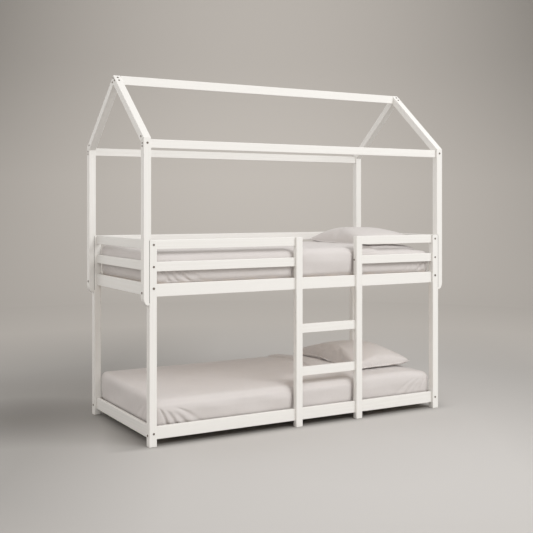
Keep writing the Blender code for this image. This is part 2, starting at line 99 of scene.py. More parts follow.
class Amount:
    """What a node puts out, ready to be reckoned with or to be linked."""

    def __init__(self, tree, socket):
        self.tree = tree
        self.socket = socket

    def reckon(self, operation, other=0.0, clamp=False):
        """One Math node's result."""
        inputs = {0: self, 1: other}
        return read_node(self.tree, "ShaderNodeMath", inputs, operation=operation, use_clamp=clamp)

    __add__ = partialmethod(reckon, "ADD")
    __sub__ = partialmethod(reckon, "SUBTRACT")
    __mul__ = partialmethod(reckon, "MULTIPLY")
    __truediv__ = partialmethod(reckon, "DIVIDE")
    __abs__ = partialmethod(reckon, "ABSOLUTE")

    def onto(self, low, high, new_low, new_high):
        """This value's range stretched onto another, and held inside it."""
        inputs = {"Value": self, "From Min": low, "From Max": high, "To Min": new_low, "To Max": new_high}
        return read_node(self.tree, "ShaderNodeMapRange", inputs)

    def blend(self, first, second):
        """The first colour where this value is 0, the second where it is 1."""
        return read_node(self.tree, "ShaderNodeMix", {0: self, 6: first, 7: second}, 2, data_type="RGBA")


def fill(tree, node, inputs):
    """Link or set a node's inputs."""
    for name, value in inputs.items():
        if isinstance(value, Amount):
            tree.links.new(value.socket, node.inputs[name])
        else:
            node.inputs[name].default_value = value


def add_node(tree, kind, inputs=None, **settings):
    """A node with its settings made and its inputs filled."""
    node = tree.nodes.new(kind)
    for name, value in settings.items():
        setattr(node, name, value)
    fill(tree, node, inputs or {})
    return node


def read_node(tree, kind, inputs=None, output=0, **settings):
    """What a new node puts out."""
    return Amount(tree, add_node(tree, kind, inputs, **settings).outputs[output])


# %% Nodes that many finishes need
def object_place(tree):
    """A point's place on the object."""
    return read_node(tree, "ShaderNodeTexCoord", output="Object")


def split(tree, vector):
    """A vector's three parts."""
    return [Amount(tree, part) for part in add_node(tree, "ShaderNodeSeparateXYZ", {0: vector}).outputs]


def mapped(tree, vector, **change):
    """A vector with a Mapping node's Scale or Rotation."""
    return read_node(tree, "ShaderNodeMapping", {"Vector": vector, **change})


def measure(tree, operation, first, second=(0, 0, 0)):
    """The number that a Vector Math node works out."""
    return read_node(tree, "ShaderNodeVectorMath", {0: first, 1: second}, "Value", operation=operation)


def noise(tree, vector, scale, detail, **more):
    """A cloudy value round a half."""
    inputs = {"Vector": vector, "Scale": scale, "Detail": detail, **more}
    return read_node(tree, "ShaderNodeTexNoise", inputs, "Fac")


def relief(tree, height, strength, distance, **more):
    """A normal that is bent by a height."""
    inputs = {"Height": height, "Strength": strength, "Distance": distance, **more}
    return read_node(tree, "ShaderNodeBump", inputs)


# %% Trees, groups and materials
def read_all(tree, kind, inputs=None, **settings):
    """All that a new node puts out, by name."""
    node = add_node(tree, kind, inputs, **settings)
    return {socket.name: Amount(tree, socket) for socket in node.outputs}


def new_tree(name, kind, inputs, outputs):
    """A tree with named sockets, each given as name: kind. Also what it is given, and its output node."""
    tree = bpy.data.node_groups.new(name, kind)
    for way, sockets in (("INPUT", inputs), ("OUTPUT", outputs)):
        for label, socket_kind in sockets.items():
            tree.interface.new_socket(label, in_out=way, socket_type=socket_kind)
    return tree, read_all(tree, "NodeGroupInput"), tree.nodes.new("NodeGroupOutput")


def place_group(tree, group, inputs):
    """A group placed in a material with its own values."""
    return read_all(tree, "ShaderNodeGroup", inputs, node_tree=group)


def new_material(name):
    """An empty Principled material: the material, its tree and its shader."""
    material = bpy.data.materials.new(name)
    material.use_nodes = True
    return material, material.node_tree, material.node_tree.nodes["Principled BSDF"]


# %% [markdown]
# ## Timber
#
# All the bed's timbers are pine. Where pine is painted, the growth rings still show as faint long
# streaks, and the brush leaves fine lines along the board. A board cut from a log shows its rings as
# thin layers, so the pattern is a noise that is stretched a long way along the grain. One group makes
# it for the painted and for the bare timbers, and each material turns it along its own boards.

# %% Grain group
RING_STRETCH = (0.09, 1, 1)
RING_DEPTH = 0.55
RING_BEND = 0.10
FIBRE_STRETCH = (6, 420, 420)

grain_group, given, result = new_tree(
    "board_grain", "ShaderNodeTree",
    {"Vector": VECTOR, "Ring Spacing": FLOAT, "Waviness": FLOAT},
    {"Rings": FLOAT, "Fibres": FLOAT, "Drift": FLOAT},
)
stretched = mapped(grain_group, given["Vector"], Scale=RING_STRETCH)
bend = noise(grain_group, stretched, 7.0, 2.0) * given["Waviness"]
_, wide, deep = split(grain_group, stretched)
rounds = wide * wide + deep * RING_DEPTH + bend * RING_BEND
ring_wave = (rounds / given["Ring Spacing"] * (2 * math.pi)).reckon("SINE")
thin = mapped(grain_group, given["Vector"], Scale=FIBRE_STRETCH)
fill(grain_group, result, {
    "Rings": ring_wave.onto(-1, 1, 0, 1),
    "Fibres": noise(grain_group, thin, 1.0, 3.0),
    "Drift": noise(grain_group, stretched, 3.1, 3.0),
})
print("group:", grain_group.name)

# %% [markdown]
# The painted boards get rounded edges from the CAD. Paint pulls thin on such an edge, and hands and
# knees polish it, so it is a little warmer and glossier there. A Bevel node gives a softened normal,
# and where that differs from the true one there is an edge.

# %% Edge group
edge_group, given, result = new_tree("soft_edges", "ShaderNodeTree", {"Reach": FLOAT}, {"Edge": FLOAT})
softened = read_node(edge_group, "ShaderNodeBevel", {"Radius": given["Reach"]}, samples=4)
true_normal = read_node(edge_group, "ShaderNodeNewGeometry", output="True Normal")
likeness = measure(edge_group, "DOT_PRODUCT", softened, true_normal)
fill(edge_group, result, {"Edge": likeness.onto(0.99, 0.80, 0, 1)})
print("group:", edge_group.name)

# %% [markdown]
# ## White paint
#
# The paint is a warm satin white. It is the same on every board, but the grain under it follows each
# board's own length, so there is one material for each direction in which boards run. Where a house
# post laps a corner post, the two meet in a thin gap that is dark with shade and a little dirt. The
# solids touch there, so that gap's shade is painted as a dark line in the paint of the upright boards.

# %% Painted timber
EAVE_HEIGHT = 1.732
RIDGE_HEIGHT = 2.140
HALF_DEPTH = 0.488
roof_pitch = math.atan2(RIDGE_HEIGHT - EAVE_HEIGHT, HALF_DEPTH)
GRAIN_TURNS = {
    "along": (0, 0, 0),
    "across": (0, 0, math.pi / 2),
    "upright": (0, math.pi / 2, 0),
    "front_slope": (-roof_pitch, 0, math.pi / 2),
    "back_slope": (roof_pitch, 0, math.pi / 2),
}
PAINT_WHITE = (0.86, 0.845, 0.815, 1)
PAINT_SHADE = (0.80, 0.775, 0.735, 1)
PAINT_EDGE = (0.88, 0.85, 0.80, 1)
JOINT_SHADE_GREY = (0.13, 0.12, 0.11, 1)
JOINT_PLACE = 1.038
JOINT_HALF_WIDTH = (0.0009, 0.0017)
JOINT_BOTTOM = (0.806, 0.810)
JOINT_TOP = (1.156, 1.159)


def grain_vector(tree, direction):
    """Object coordinates turned so that X runs along the board."""
    return mapped(tree, object_place(tree), Rotation=GRAIN_TURNS[direction])


def joint_shade_mask(tree):
    """1 on the painted shade of the thin gap between a house post and the corner post that it laps."""
    x, _, z = split(tree, object_place(tree))
    line = abs(abs(x) - JOINT_PLACE).onto(*JOINT_HALF_WIDTH, 1, 0)
    return line * (z.onto(*JOINT_BOTTOM, 0, 1) * z.onto(*JOINT_TOP, 1, 0))


def painted_timber(direction):
    """Satin white paint over pine, with the grain running one way."""
    material, tree, shader = new_material(f"white_paint_{direction}")
    vector = grain_vector(tree, direction)
    grain = place_group(tree, grain_group, {"Vector": vector, "Ring Spacing": 0.011, "Waviness": 0.6})
    edge = place_group(tree, edge_group, {"Reach": 0.004})["Edge"]
    rings = grain["Rings"] * grain["Drift"].onto(0.4, 0.65, 0.0, 0.42)
    streaks = grain["Fibres"].onto(0.3, 0.7, 0.0, 0.25)
    tone = rings.reckon("ADD", streaks, clamp=True).blend(PAINT_WHITE, PAINT_SHADE)
    tone = (edge * 0.6).blend(tone, PAINT_EDGE)
    if direction == "upright":
        # The dark line is painted shade of the narrow gap where a house post laps a corner post, with a
        # little dirt.
        tone = joint_shade_mask(tree).blend(tone, JOINT_SHADE_GREY)
    fill(tree, shader, {
        "Base Color": tone,
        "Roughness": grain["Drift"].onto(0.35, 0.7, 0.46, 0.36) - edge * 0.05,
        "Normal": relief(tree, grain["Rings"] * 0.5 + grain["Fibres"], 0.35, 0.00025),
        "Specular IOR Level": 0.45,
    })
    return material


paints = {direction: painted_timber(direction) for direction in GRAIN_TURNS}
board_ways = {
    "rafter_front": "front_slope", "rafter_back": "back_slope", "end_rail": "across", "post": "upright",
}


def paint_direction(name):
    """Which way a painted node's boards run."""
    return next((way for word, way in board_ways.items() if word in name), "along")


def dress(node, material):
    """Give a CAD node one material."""
    node.data.materials.clear()
    node.data.materials.append(material)


painted = [n for n in nodes if any(word in n for word in ("post", "rail", "rung", "rafter", "beam"))]
for name in painted:
    dress(nodes[name], paints[paint_direction(name)])
print("painted nodes:", len(painted))

# %% [markdown]
# ## Bare pine
#
# The slats and the ledges under the mattresses stay unpainted. Here the rings are plain to see, in
# honey and straw, with a knot now and then. A Voronoi texture that is stretched along the grain
# scatters the knots, and only the middle of a few of its cells is used. The straps that tie the slats
# together are part of the same solid, so their ribbed webbing is laid over the pine by place.

# %% Bare pine
PINE_LIGHT = (0.78, 0.60, 0.38, 1)
PINE_DARK = (0.60, 0.39, 0.19, 1)
PINE_KNOT = (0.25, 0.12, 0.05, 1)
WEBBING = (0.70, 0.68, 0.62, 1)
WEBBING_SHADE = (0.45, 0.43, 0.38, 1)
KNOT_STRETCH = (1.3, 6.5, 6.5)
STRAP_PLACE = 0.300
STRAP_HALF_WIDTH = 0.0102
STRAP_HALF_HEIGHT = 0.00145
RIB_TURNS = 2 * math.pi / 0.0016, 2 * math.pi / 0.0022


def bare_timber(direction, strap_tops=()):
    """Planed pine, and webbing where a strap lies at one of the given heights."""
    material, tree, shader = new_material(f"bare_pine_{direction}")
    vector = grain_vector(tree, direction)
    grain = place_group(tree, grain_group, {"Vector": vector, "Ring Spacing": 0.007, "Waviness": 1.1})
    tone = grain["Rings"].onto(0.35, 1, 0.0, 0.75).blend(PINE_LIGHT, PINE_DARK)
    tone = grain["Fibres"].onto(0.45, 0.75, 0.0, 0.35).blend(tone, PINE_DARK)
    tone = grain["Drift"].onto(0.5, 0.8, 0.0, 0.5).blend(tone, PINE_LIGHT)
    cells = mapped(tree, vector, Scale=KNOT_STRETCH)
    knots = read_node(tree, "ShaderNodeTexVoronoi", {"Vector": cells, "Scale": 1.0}, "Distance")
    knot = knots.onto(0.035, 0.075, 1, 0)
    tone = knot.blend(tone, PINE_KNOT)
    height = grain["Fibres"] + knot * 0.5
    roughness = grain["Fibres"].onto(0.3, 0.7, 0.55, 0.72)
    if strap_tops:
        x, y, z = split(tree, object_place(tree))
        off_strap = abs(abs(y) - STRAP_PLACE)
        high = 0.0
        for top in strap_tops:
            high = abs(z - top).reckon("LESS_THAN", STRAP_HALF_HEIGHT) + high
        strap = off_strap.reckon("LESS_THAN", STRAP_HALF_WIDTH).reckon("MULTIPLY", high, clamp=True)
        ribs = (x * RIB_TURNS[0]).reckon("SINE") * (off_strap * RIB_TURNS[1]).reckon("SINE")
        webbing = ribs.onto(-1, 1, 0, 0.5).blend(WEBBING, WEBBING_SHADE)
        tone = strap.blend(tone, webbing)
        height = height + ribs * strap * 2.0
        roughness = roughness + strap * 0.2
    fill(tree, shader, {
        "Base Color": tone, "Roughness": roughness, "Normal": relief(tree, height, 0.6, 0.0003),
    })
    return material


strap_tops = [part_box(f"{level}_slatted_base")[1].z for level in ("lower", "upper")]
slat_pine = bare_timber("across", strap_tops)
ledge_pine = bare_timber("along")
for level in ("lower", "upper"):
    dress(nodes[f"{level}_slatted_base"], slat_pine)
    for side in ("front", "back"):
        dress(nodes[f"{level}_slat_ledge_{side}"], ledge_pine)
print("strap tops:", [round(v, 4) for v in strap_tops])

# %% [markdown]
# ## Browned steel
#
# The bolts are steel with a brown finish, which wears bright on the rim of the head. They are small
# and dark in the photograph. A little noise in the colour and the roughness is enough.

# %% Bolt steel
STEEL_BROWN = (0.26, 0.22, 0.19, 1)
STEEL_DARK = (0.16, 0.13, 0.11, 1)
STEEL_WORN = (0.42, 0.38, 0.34, 1)


def bolt_steel():
    """Browned steel with a brighter worn rim."""
    material, tree, shader = new_material("browned_steel")
    mottle = noise(tree, object_place(tree), 700.0, 3.0)
    edge = place_group(tree, edge_group, {"Reach": 0.0006})["Edge"]
    tone = mottle.onto(0.35, 0.7, 0, 1).blend(STEEL_BROWN, STEEL_DARK)
    fill(tree, shader, {
        "Base Color": (edge * 0.35).blend(tone, STEEL_WORN),
        "Roughness": mottle.onto(0.3, 0.7, 0.30, 0.48),
        "Normal": relief(tree, mottle, 0.2, 0.0001),
        "Metallic": 0.85,
    })
    return material


steel = bolt_steel()
bolts = [name for name in nodes if "bolt" in name]
for name in bolts:
    dress(nodes[name], steel)
print("bolts:", len(bolts))

# %% [markdown]
# ## Cotton
#
# The sheets and the pillow covers are plain woven cotton in a warm grey. Threads cross over and under
# every half millimetre, some are thicker than others, and the cloth has a soft sheen at its edges.
# The weave reads each piece's own UV map, which is in metres of flat cloth, so that the threads bend
# with the surface. One group makes it for both cloths.

# %% Weave group
weave_group, given, result = new_tree(
    "cotton_weave", "ShaderNodeTree",
    {"Cloth": VECTOR, "Place": VECTOR, "Thread Pitch": FLOAT},
    {"Threads": FLOAT, "Slub": FLOAT, "Crumple": FLOAT},
)
waves = []
for flat in split(weave_group, given["Cloth"])[:2]:
    waves.append((flat / given["Thread Pitch"] * math.pi).reckon("SINE"))
slubs = []
for thread_stretch in ((900, 14, 1), (14, 900, 1)):
    drawn = mapped(weave_group, given["Cloth"], Scale=thread_stretch)
    slubs.append(noise(weave_group, drawn, 1.0, 2.0))
fill(weave_group, result, {
    "Threads": (waves[0] * waves[1]).onto(-1, 1, 0, 1),
    "Slub": (slubs[0] + slubs[1]) * 0.5,
    "Crumple": noise(weave_group, given["Place"], 9.0, 4.0, Roughness=0.45, Distortion=0.6),
})
print("group:", weave_group.name)

# %% Sheets and pillow covers
SHEET_LIGHT = (0.705, 0.668, 0.653, 1)
SHEET_SHADE = (0.612, 0.575, 0.556, 1)
COVER_LIGHT = (0.700, 0.662, 0.645, 1)
COVER_SHADE = (0.600, 0.564, 0.542, 1)


def cotton(name, light, shade, pitch):
    """Plain woven cotton, with a little painted shade in its crumples."""
    material, tree, shader = new_material(name)
    cloth = read_node(tree, "ShaderNodeUVMap", uv_map="cloth")
    inputs = {"Cloth": cloth, "Place": object_place(tree), "Thread Pitch": pitch}
    weave = place_group(tree, weave_group, inputs)
    share = weave["Threads"].onto(0, 1, 0.55, 0.0) + weave["Slub"].onto(0.35, 0.65, 0.3, 0.0)
    # The cloth is a little darker in the valleys of its crumples: painted shade.
    share = share.reckon("ADD", weave["Crumple"].onto(0.35, 0.65, 0.12, 0.0), clamp=True)
    threads = relief(tree, weave["Threads"], 0.5, 0.00015)
    fill(tree, shader, {
        "Base Color": share.blend(light, shade),
        "Roughness": weave["Slub"].onto(0.3, 0.7, 0.82, 0.94),
        "Normal": relief(tree, weave["Crumple"], 0.35, 0.004, Normal=threads),
        "Specular IOR Level": 0.25,
        "Sheen Weight": 0.12,
        "Sheen Roughness": 0.45,
    })
    return material


sheet_cotton = cotton("sheet_cotton", SHEET_LIGHT, SHEET_SHADE, 0.00055)
cover_cotton = cotton("cover_cotton", COVER_LIGHT, COVER_SHADE, 0.0005)
print("cloths:", sheet_cotton.name, cover_cotton.name)

# %% [markdown]
# ## The mattresses in their fitted sheets
#
# A foam mattress fills its frame and swells a little between the posts that hold it, so that each
# bay looks like the side of a cushion. The fitted sheet is drawn tight over the top, and its corners
# fan out into folds where the elastic pulls them under. I start from a box that is covered by a grid,
# round it, and then move its points by a few simple rules: the crown, the swelling, the folds. Each
# rule is a smooth step or a wave, and its numbers are metres on the bed.

# %% Smooth steps and waves
WAVE_COUNT = 9


def held(value):
    """A value held between 0 and 1."""
    return np.clip(value, 0, 1)


def ease(value, start, finish):
    """A smooth step from 0 at start to 1 at finish, either way round."""
    share = held((value - start) / (finish - start))
    return share * share * (3 - 2 * share)


def grid_lines(low, high, spacing, fine_spacing, fine_places, fine_reach):
    """Places from low to high, closer together round the given ones."""
    sample = np.linspace(low, high, 4001)
    need = np.full(sample.shape, 1 / spacing)
    for place in fine_places:
        near = 1 - ease(np.abs(sample - place), fine_reach * 0.5, fine_reach)
        need = np.maximum(need, 1 / spacing + near * (1 / fine_spacing - 1 / spacing))
    count = np.concatenate([[0], np.cumsum((need[1:] + need[:-1]) / 2 * np.diff(sample))])
    lines = int(round(count[-1]))
    return np.interp(np.linspace(0, count[-1], lines + 1), count, sample)


def soft_waves(x, y, seed, length):
    """A gentle irregular swell with about the given wavelength, from -1 to 1."""
    draw = np.random.default_rng(seed)
    total = np.zeros_like(x)
    for _ in range(WAVE_COUNT):
        angle = draw.uniform(0, 2 * math.pi)
        stretch = draw.uniform(0.7, 1.6)
        phase = draw.uniform(0, 2 * math.pi)
        along = x * math.cos(angle) + y * math.sin(angle)
        total += np.sin(2 * math.pi * along / (length * stretch) + phase)
    return total / (WAVE_COUNT / 2)


# %% A box covered by a grid
QUAD = ((0, 0), (1, 0), (1, 1), (0, 1))
FULLNESS = 2.8


def quads(rows, columns, turn):
    """The corners of every quad in a grid, one way round or the other."""
    return [[(i + a, j + b) for a, b in QUAD[::turn]] for i in range(rows) for j in range(columns)]


def box_grid(xs, ys, zs):
    """The surface of a box as a grid of quads: its points, its faces and each face corner's flat place."""
    sizes = [len(xs) - 1, len(ys) - 1, len(zs) - 1]
    index = {}
    faces = []
    flats = []
    for axis in range(3):
        rows, columns = sizes[:axis] + sizes[axis + 1:]
        for end, sign in ((0, -1), (sizes[axis], 1)):
            for corners in quads(rows, columns, -sign if axis == 1 else sign):
                keys = [(*corner[:axis], end, *corner[axis:]) for corner in corners]
                faces.append([index.setdefault(key, len(index)) for key in keys])
                for i, j, k in keys:
                    flat = [xs[i], ys[j]]
                    if axis < 2:
                        flat[axis] += sign * (zs[-1] - zs[k])
                    flats.append(flat)
    return np.array([(xs[i], ys[j], zs[k]) for i, j, k in index]), faces, np.array(flats)


def round_box(points, half, plan_round, edge_round):
    """Round a box's edges: plan_round for the upright ones, edge_round over the top and bottom.

    The rounding is a little fuller than a quarter circle, as on a block of foam in a tight cover.
    """
    stretch = np.array([1, 1, plan_round / edge_round])
    scaled = points * stretch
    limit = np.array(half) * stretch - plan_round
    core = np.clip(scaled, -limit, limit)
    away = scaled - core
    away /= (np.abs(away) ** FULLNESS).sum(1)[:, None] ** (1 / FULLNESS)
    rounded = (core + away * plan_round) / stretch
    normals = np.sign(away) * np.abs(away) ** (FULLNESS - 1) * stretch
    return rounded, normals / np.linalg.norm(normals, axis=1)[:, None]


def new_piece(name, points, faces, flats, material):
    """A smooth mesh piece with its cloth UV map, at the origin."""
    mesh = bpy.data.meshes.new(name)
    mesh.from_pydata([tuple(p) for p in points], [], faces)
    layer = mesh.uv_layers.new(name="cloth")
    layer.data.foreach_set("uv", np.asarray(flats, np.float32).ravel())
    mesh.polygons.foreach_set("use_smooth", [True] * len(mesh.polygons))
    mesh.materials.append(material)
    return add_object(name, mesh)


# %% The swelling between the posts
LADDER_POSTS = (-0.0535, 0.3935)
LADDER_POST_HALF = 0.0225
CREASE_REACH = 0.030
SHOULDER_REACH = 0.085
BAYS = {"left": (-0.978, -0.080), "ladder": (-0.027, 0.367), "right": (0.420, 0.978)}


def front_bulge(x, bays):
    """How far the front swells out of its frame in each bay."""
    bulge = np.zeros_like(x)
    for name, amount in bays.items():
        low, high = BAYS[name]
        share = held((x - low) / (high - low)) * 2 - 1
        bulge += amount * np.sqrt(held(1 - share ** 6))
    return bulge


def off_ladder_post(x, half, reach):
    """How far away the nearest ladder post is: 0 beside it, 1 a reach away."""
    away = np.min([np.abs(x - post) for post in LADDER_POSTS], axis=0)
    return held((away - half) / reach)


def post_crease(x):
    """1 behind each ladder post, falling off as the side of a cushion does."""
    share = off_ladder_post(x, LADDER_POST_HALF, CREASE_REACH)
    return 1 - np.sqrt(1 - (1 - share) ** 2)


def post_shoulder(x):
    """1 at each ladder post, falling off over a hand's width: there the top edge is pulled down."""
    return (1 - off_ladder_post(x, LADDER_POST_HALF * 0.6, SHOULDER_REACH)) ** 2


# %% [markdown]
# The folds at a corner hang from one place above it, as the rays of a fan do, so each one is a valley
# at an angle. It has a steep side and a gentle one, because the cloth falls over to one side. The big
# fold on the lower sheet is a step that rises sharply and eases off behind, with a trough before it. The
# upright ends of both sheets are pinched at the right, where the elastic gathers them.

# %% Folds
FOLD_CENTRE_HEIGHT = 0.242
FOLD_ANGLES = (22.5, 34.0, 43.5, 54.5)
FOLD_FADE = 0.42
FOLD_DRIFT = 0.005
FOLD_ANGLE_SLACK = 1.2
FOLD_TOPS = (0.110, 0.160)
FOLD_TOP_FADE = 0.060
FOLD_WIDTHS = (1.7, 3.0)
FOLD_STRENGTHS = (0.6, 1.15)
STEEP_SIDE, GENTLE_SIDE = 0.8, 1.5
SHEET_FOLD_PLACE = 0.240
RIPPLE_LENGTH = 0.042


def corner_folds(along, height, seed):
    """Folds that hang from above the corner down to the hem: 1 in a valley, 0 between them."""
    draw = np.random.default_rng(seed)
    down = FOLD_CENTRE_HEIGHT - height
    angle = np.degrees(np.arctan2(along - FOLD_DRIFT * ease(height, 0.13, 0.04), down))
    valleys = np.zeros_like(along)
    for centre in FOLD_ANGLES:
        centre += draw.uniform(-FOLD_ANGLE_SLACK, FOLD_ANGLE_SLACK)
        top = draw.uniform(*FOLD_TOPS)
        width = draw.uniform(*FOLD_WIDTHS)
        off = (angle - centre) / width
        shape = np.exp(-np.where(off > 0, (off / STEEP_SIDE) ** 2, (off / GENTLE_SIDE) ** 2))
        valleys += draw.uniform(*FOLD_STRENGTHS) * shape * ease(height, top, top - FOLD_TOP_FADE)
    return valleys * (1 - ease(along, FOLD_FADE * 0.3, FOLD_FADE)) * ease(height, -0.01, 0.02)


def pinch(a, b, start, finish, width):
    """A crease along a line in a plane: 1 on the line, 0 a width away."""
    line = np.array(finish) - np.array(start)
    share = held(((a - start[0]) * line[0] + (b - start[1]) * line[1]) / np.hypot(*line) ** 2)
    off = np.hypot(a - start[0] - share * line[0], b - start[1] - share * line[1])
    return (1 - ease(off, 0, width)) * held(np.sin(math.pi * held(share * 0.9 + 0.05)) * 1.4)


def sheet_fold(x, y):
    """A fold of the sheet across the bed: sharp towards the foot, easing off towards the head."""
    off = x - (SHEET_FOLD_PLACE + 0.085 * ease(y, 0.47, 0.20) - 0.020 * ease(y, 0.16, -0.1))
    before = 0.5 * ease(off, -0.006, 0.0)
    behind = 0.5 + 0.5 * ease(off, 0, 0.07) - ease(off, 0.09, 0.18)
    trough = -0.45 * np.exp(-(((off + 0.010) / 0.008) ** 2))
    ripples = 0.10 * np.sin((off + 0.02) * 2 * math.pi / RIPPLE_LENGTH)
    ripples = ripples * ease(off, -0.02, -0.06) * (1 - ease(off, -0.10, -0.17))
    return (np.where(off < 0, before, behind) + trough + ripples) * ease(y, -0.20, 0.05)


# %% Sizes of a mattress
HALF_X = 0.9995
HALF_Y = 0.4495
PLAN_ROUND = 0.041
TOP_ROUND = 0.046
GRID_STEP = 0.0095
FINE_STEP = 0.0042
UPRIGHT_STEPS = (0.0060, 0.0050)
CROWN = 0.008
CROWN_REACH = 0.30
BACK_RISE = 0.011
FRONT_FALLS = {"lower": 0.034, "upper": 0.008}
END_FALLS = {"lower": (0.022, 0.010), "upper": (0.022, 0.0)}
DRAW_IN = 0.008
CREASE_DEPTH = 0.013
UNDERCUT = 0.010
SHOULDER_DROP = 0.020
CORNER_FOLD_DEPTH = 0.0100
OTHER_FOLD_DEPTH = 0.0036
SHEET_FOLD_HEIGHT = 0.0165
SIDE_SWELL = 0.0016
TOP_SWELL = 0.0022
TOP_RIPPLE = 0.0011
TOP_SETTLING = 0.0006
FINE_PLACES = {"lower": (-0.96, -0.88, -0.80, 0.96, 0.300), "upper": (-0.96, -0.88, -0.80, 0.96)}
RIGHT_PINCHES = {
    "lower": (
        ((0.955, 0.172), (0.938, 0.095), 0.011, 0.0060),
        ((0.972, 0.170), (0.974, 0.080), 0.010, 0.0070),
    ),
    "upper": (
        ((0.952, 0.092), (0.910, 0.022), 0.011, 0.0095),
        ((0.961, 0.095), (0.980, 0.004), 0.011, 0.0110),
    ),
}


# %% How its points move
def fold_push(x, y, normals, height, seed):
    """How far the corner folds move the sides: most at the front left corner, which faces the camera."""
    push = 0
    for end in (-1, 1):
        for short, sign in ((0, -1), (0, 1), (1, -1), (1, 1)):
            along = HALF_Y - sign * y if short else HALF_X - end * x
            facing = held(end * normals[:, 0] if short else sign * normals[:, 1])
            amount = CORNER_FOLD_DEPTH if (short, sign, end) == (0, -1, -1) else OTHER_FOLD_DEPTH
            folds = corner_folds(along, height, seed + 7 * end + 3 * sign + short)
            push = push - amount * folds * facing ** 2
    return push


def side_push(level, x, y, z, normals, height, share, bays, seed):
    """How far each point moves out along its normal."""
    front, left = held(-normals[:, 1]), held(-normals[:, 0])
    side = np.hypot(normals[:, 0], normals[:, 1])
    push = -DRAW_IN * side * (2 * share - 1) ** 4
    push += front_bulge(x, bays) * front * ease(height, 0.0, 0.11) * (1 - ease(share, 0.50, 1.0))
    push -= CREASE_DEPTH * post_crease(x) * front * ease(height, 0.0, 0.05)
    push -= UNDERCUT * (front + left) * (1 - ease(share, 0.0, 1.0))
    push += SIDE_SWELL * side * soft_waves(x + y, z * 2.5, seed, 0.26)
    push += fold_push(x, y, normals, height, seed)
    for start, finish, width, depth in RIGHT_PINCHES[level]:
        push -= depth * pinch(x, height, start, finish, width) * front
    return push


def top_lift(level, x, y, normals, height, thickness, press, seed):
    """How far each point moves up."""
    top = held(normals[:, 2])
    depth, x_range, y_range = press
    lift = -SHOULDER_DROP * post_shoulder(x) * ease(y, -0.34, -0.44)
    lift -= depth * ease(x, *x_range) * ease(y, *y_range)
    fall, more = END_FALLS[level]
    lift -= (fall + more * ease(y, -0.42, -0.12)) * held((x - 0.78) / 0.21) ** 1.5
    lift += BACK_RISE * ease(y, -0.10, 0.36) * (1 - ease(x, 0.22, 0.42))
    over_front = np.clip((-0.15 - y) / 0.30, 0, 0.985)
    lift -= FRONT_FALLS[level] * (1 - np.sqrt(1 - over_front ** 2)) * (1 - ease(x, 0.30, 0.50))
    lift *= ease(height, 0.085, thickness)
    distance = np.minimum(HALF_X - np.abs(x), HALF_Y - np.abs(y))
    crown = CROWN * (1 - (1 - held(distance / CROWN_REACH)) ** 2)
    swell = TOP_SWELL * soft_waves(x, y, seed + 1, 0.42) * ease(distance, 0.03, 0.16)
    swell += TOP_RIPPLE * soft_waves(x, y * 0.6, seed + 2, 0.13) * ease(distance, 0.02, 0.10)
    if level == "lower":
        swell += SHEET_FOLD_HEIGHT * sheet_fold(x, y)
    return lift + top * (crown + swell - TOP_SETTLING)


# %% Make both mattresses
def mattress_in_sheet(level, bays, press, seed):
    """One mattress with its fitted sheet, on the place of its CAD solid.

    The pillow's end presses its top down: by so much, over a range in x and one in y.
    """
    low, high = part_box(f"{level}_mattress")
    thickness = high.z - low.z - CROWN
    fine_x = [post + side * LADDER_POST_HALF for post in LADDER_POSTS for side in (-1, 1)]
    xs = grid_lines(-HALF_X, HALF_X, GRID_STEP, FINE_STEP, [*fine_x, *FINE_PLACES[level]], 0.06)
    ys = grid_lines(-HALF_Y, HALF_Y, GRID_STEP, FINE_STEP * 1.3, [-0.42, 0.42], 0.04)
    zs = grid_lines(-thickness / 2, thickness / 2, *UPRIGHT_STEPS, [-0.05, 0.05], 0.03)
    points, faces, flats = box_grid(xs, ys, zs)
    rounded, normals = round_box(points, (HALF_X, HALF_Y, thickness / 2), PLAN_ROUND, TOP_ROUND)
    x, y, z = rounded.T
    height = z + thickness / 2
    push = side_push(level, x, y, z, normals, height, height / thickness, bays, seed)
    moved = rounded + normals * push[:, None]
    moved[:, 2] += top_lift(level, x, y, normals, height, thickness, press, seed)
    moved[:, 2] = np.clip(moved[:, 2], -thickness / 2, None) + low.z + thickness / 2
    piece = new_piece(f"{level}_mattress_in_sheet", moved, faces, flats, sheet_cotton)
    print(piece.name, len(faces), "faces,", np.round(moved.min(0), 4), np.round(moved.max(0), 4))
    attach(piece, f"{level}_mattress")
    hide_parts(f"{level}_mattress")


LOWER_BULGES = {"left": 0.008, "ladder": 0.001, "right": 0.008}
UPPER_BULGES = {"left": 0.0008, "ladder": 0.008, "right": 0.0008}
mattress_in_sheet("lower", LOWER_BULGES, press=(0.011, (0.36, 0.50), (-0.16, -0.44)), seed=11)
mattress_in_sheet("upper", UPPER_BULGES, press=(0.024, (0.50, 0.60), (-0.27, -0.35)), seed=23)

# %% [markdown]
# ## The pillows
#
# A pillow cover is two flat panels sewn together at the rim and blown up by its filling. That is what
# I do here: two grids that share their rim, a little pressure between them, and Blender's cloth finds
# the swelling, the gathers along the seams and the pointed corners by itself. Afterwards the pillow is
# laid down: its underside goes flat where it touches the sheet, and its seams stay a finger above it.

# %% Cut the cover
PANEL_HALF_WIDE = 0.248
PANEL_HALF_LONG = 0.388
PANEL_COLUMNS = 58
PANEL_ROWS = 90
LENS_THICKNESS = 0.034
PANELS_APART = 0.4


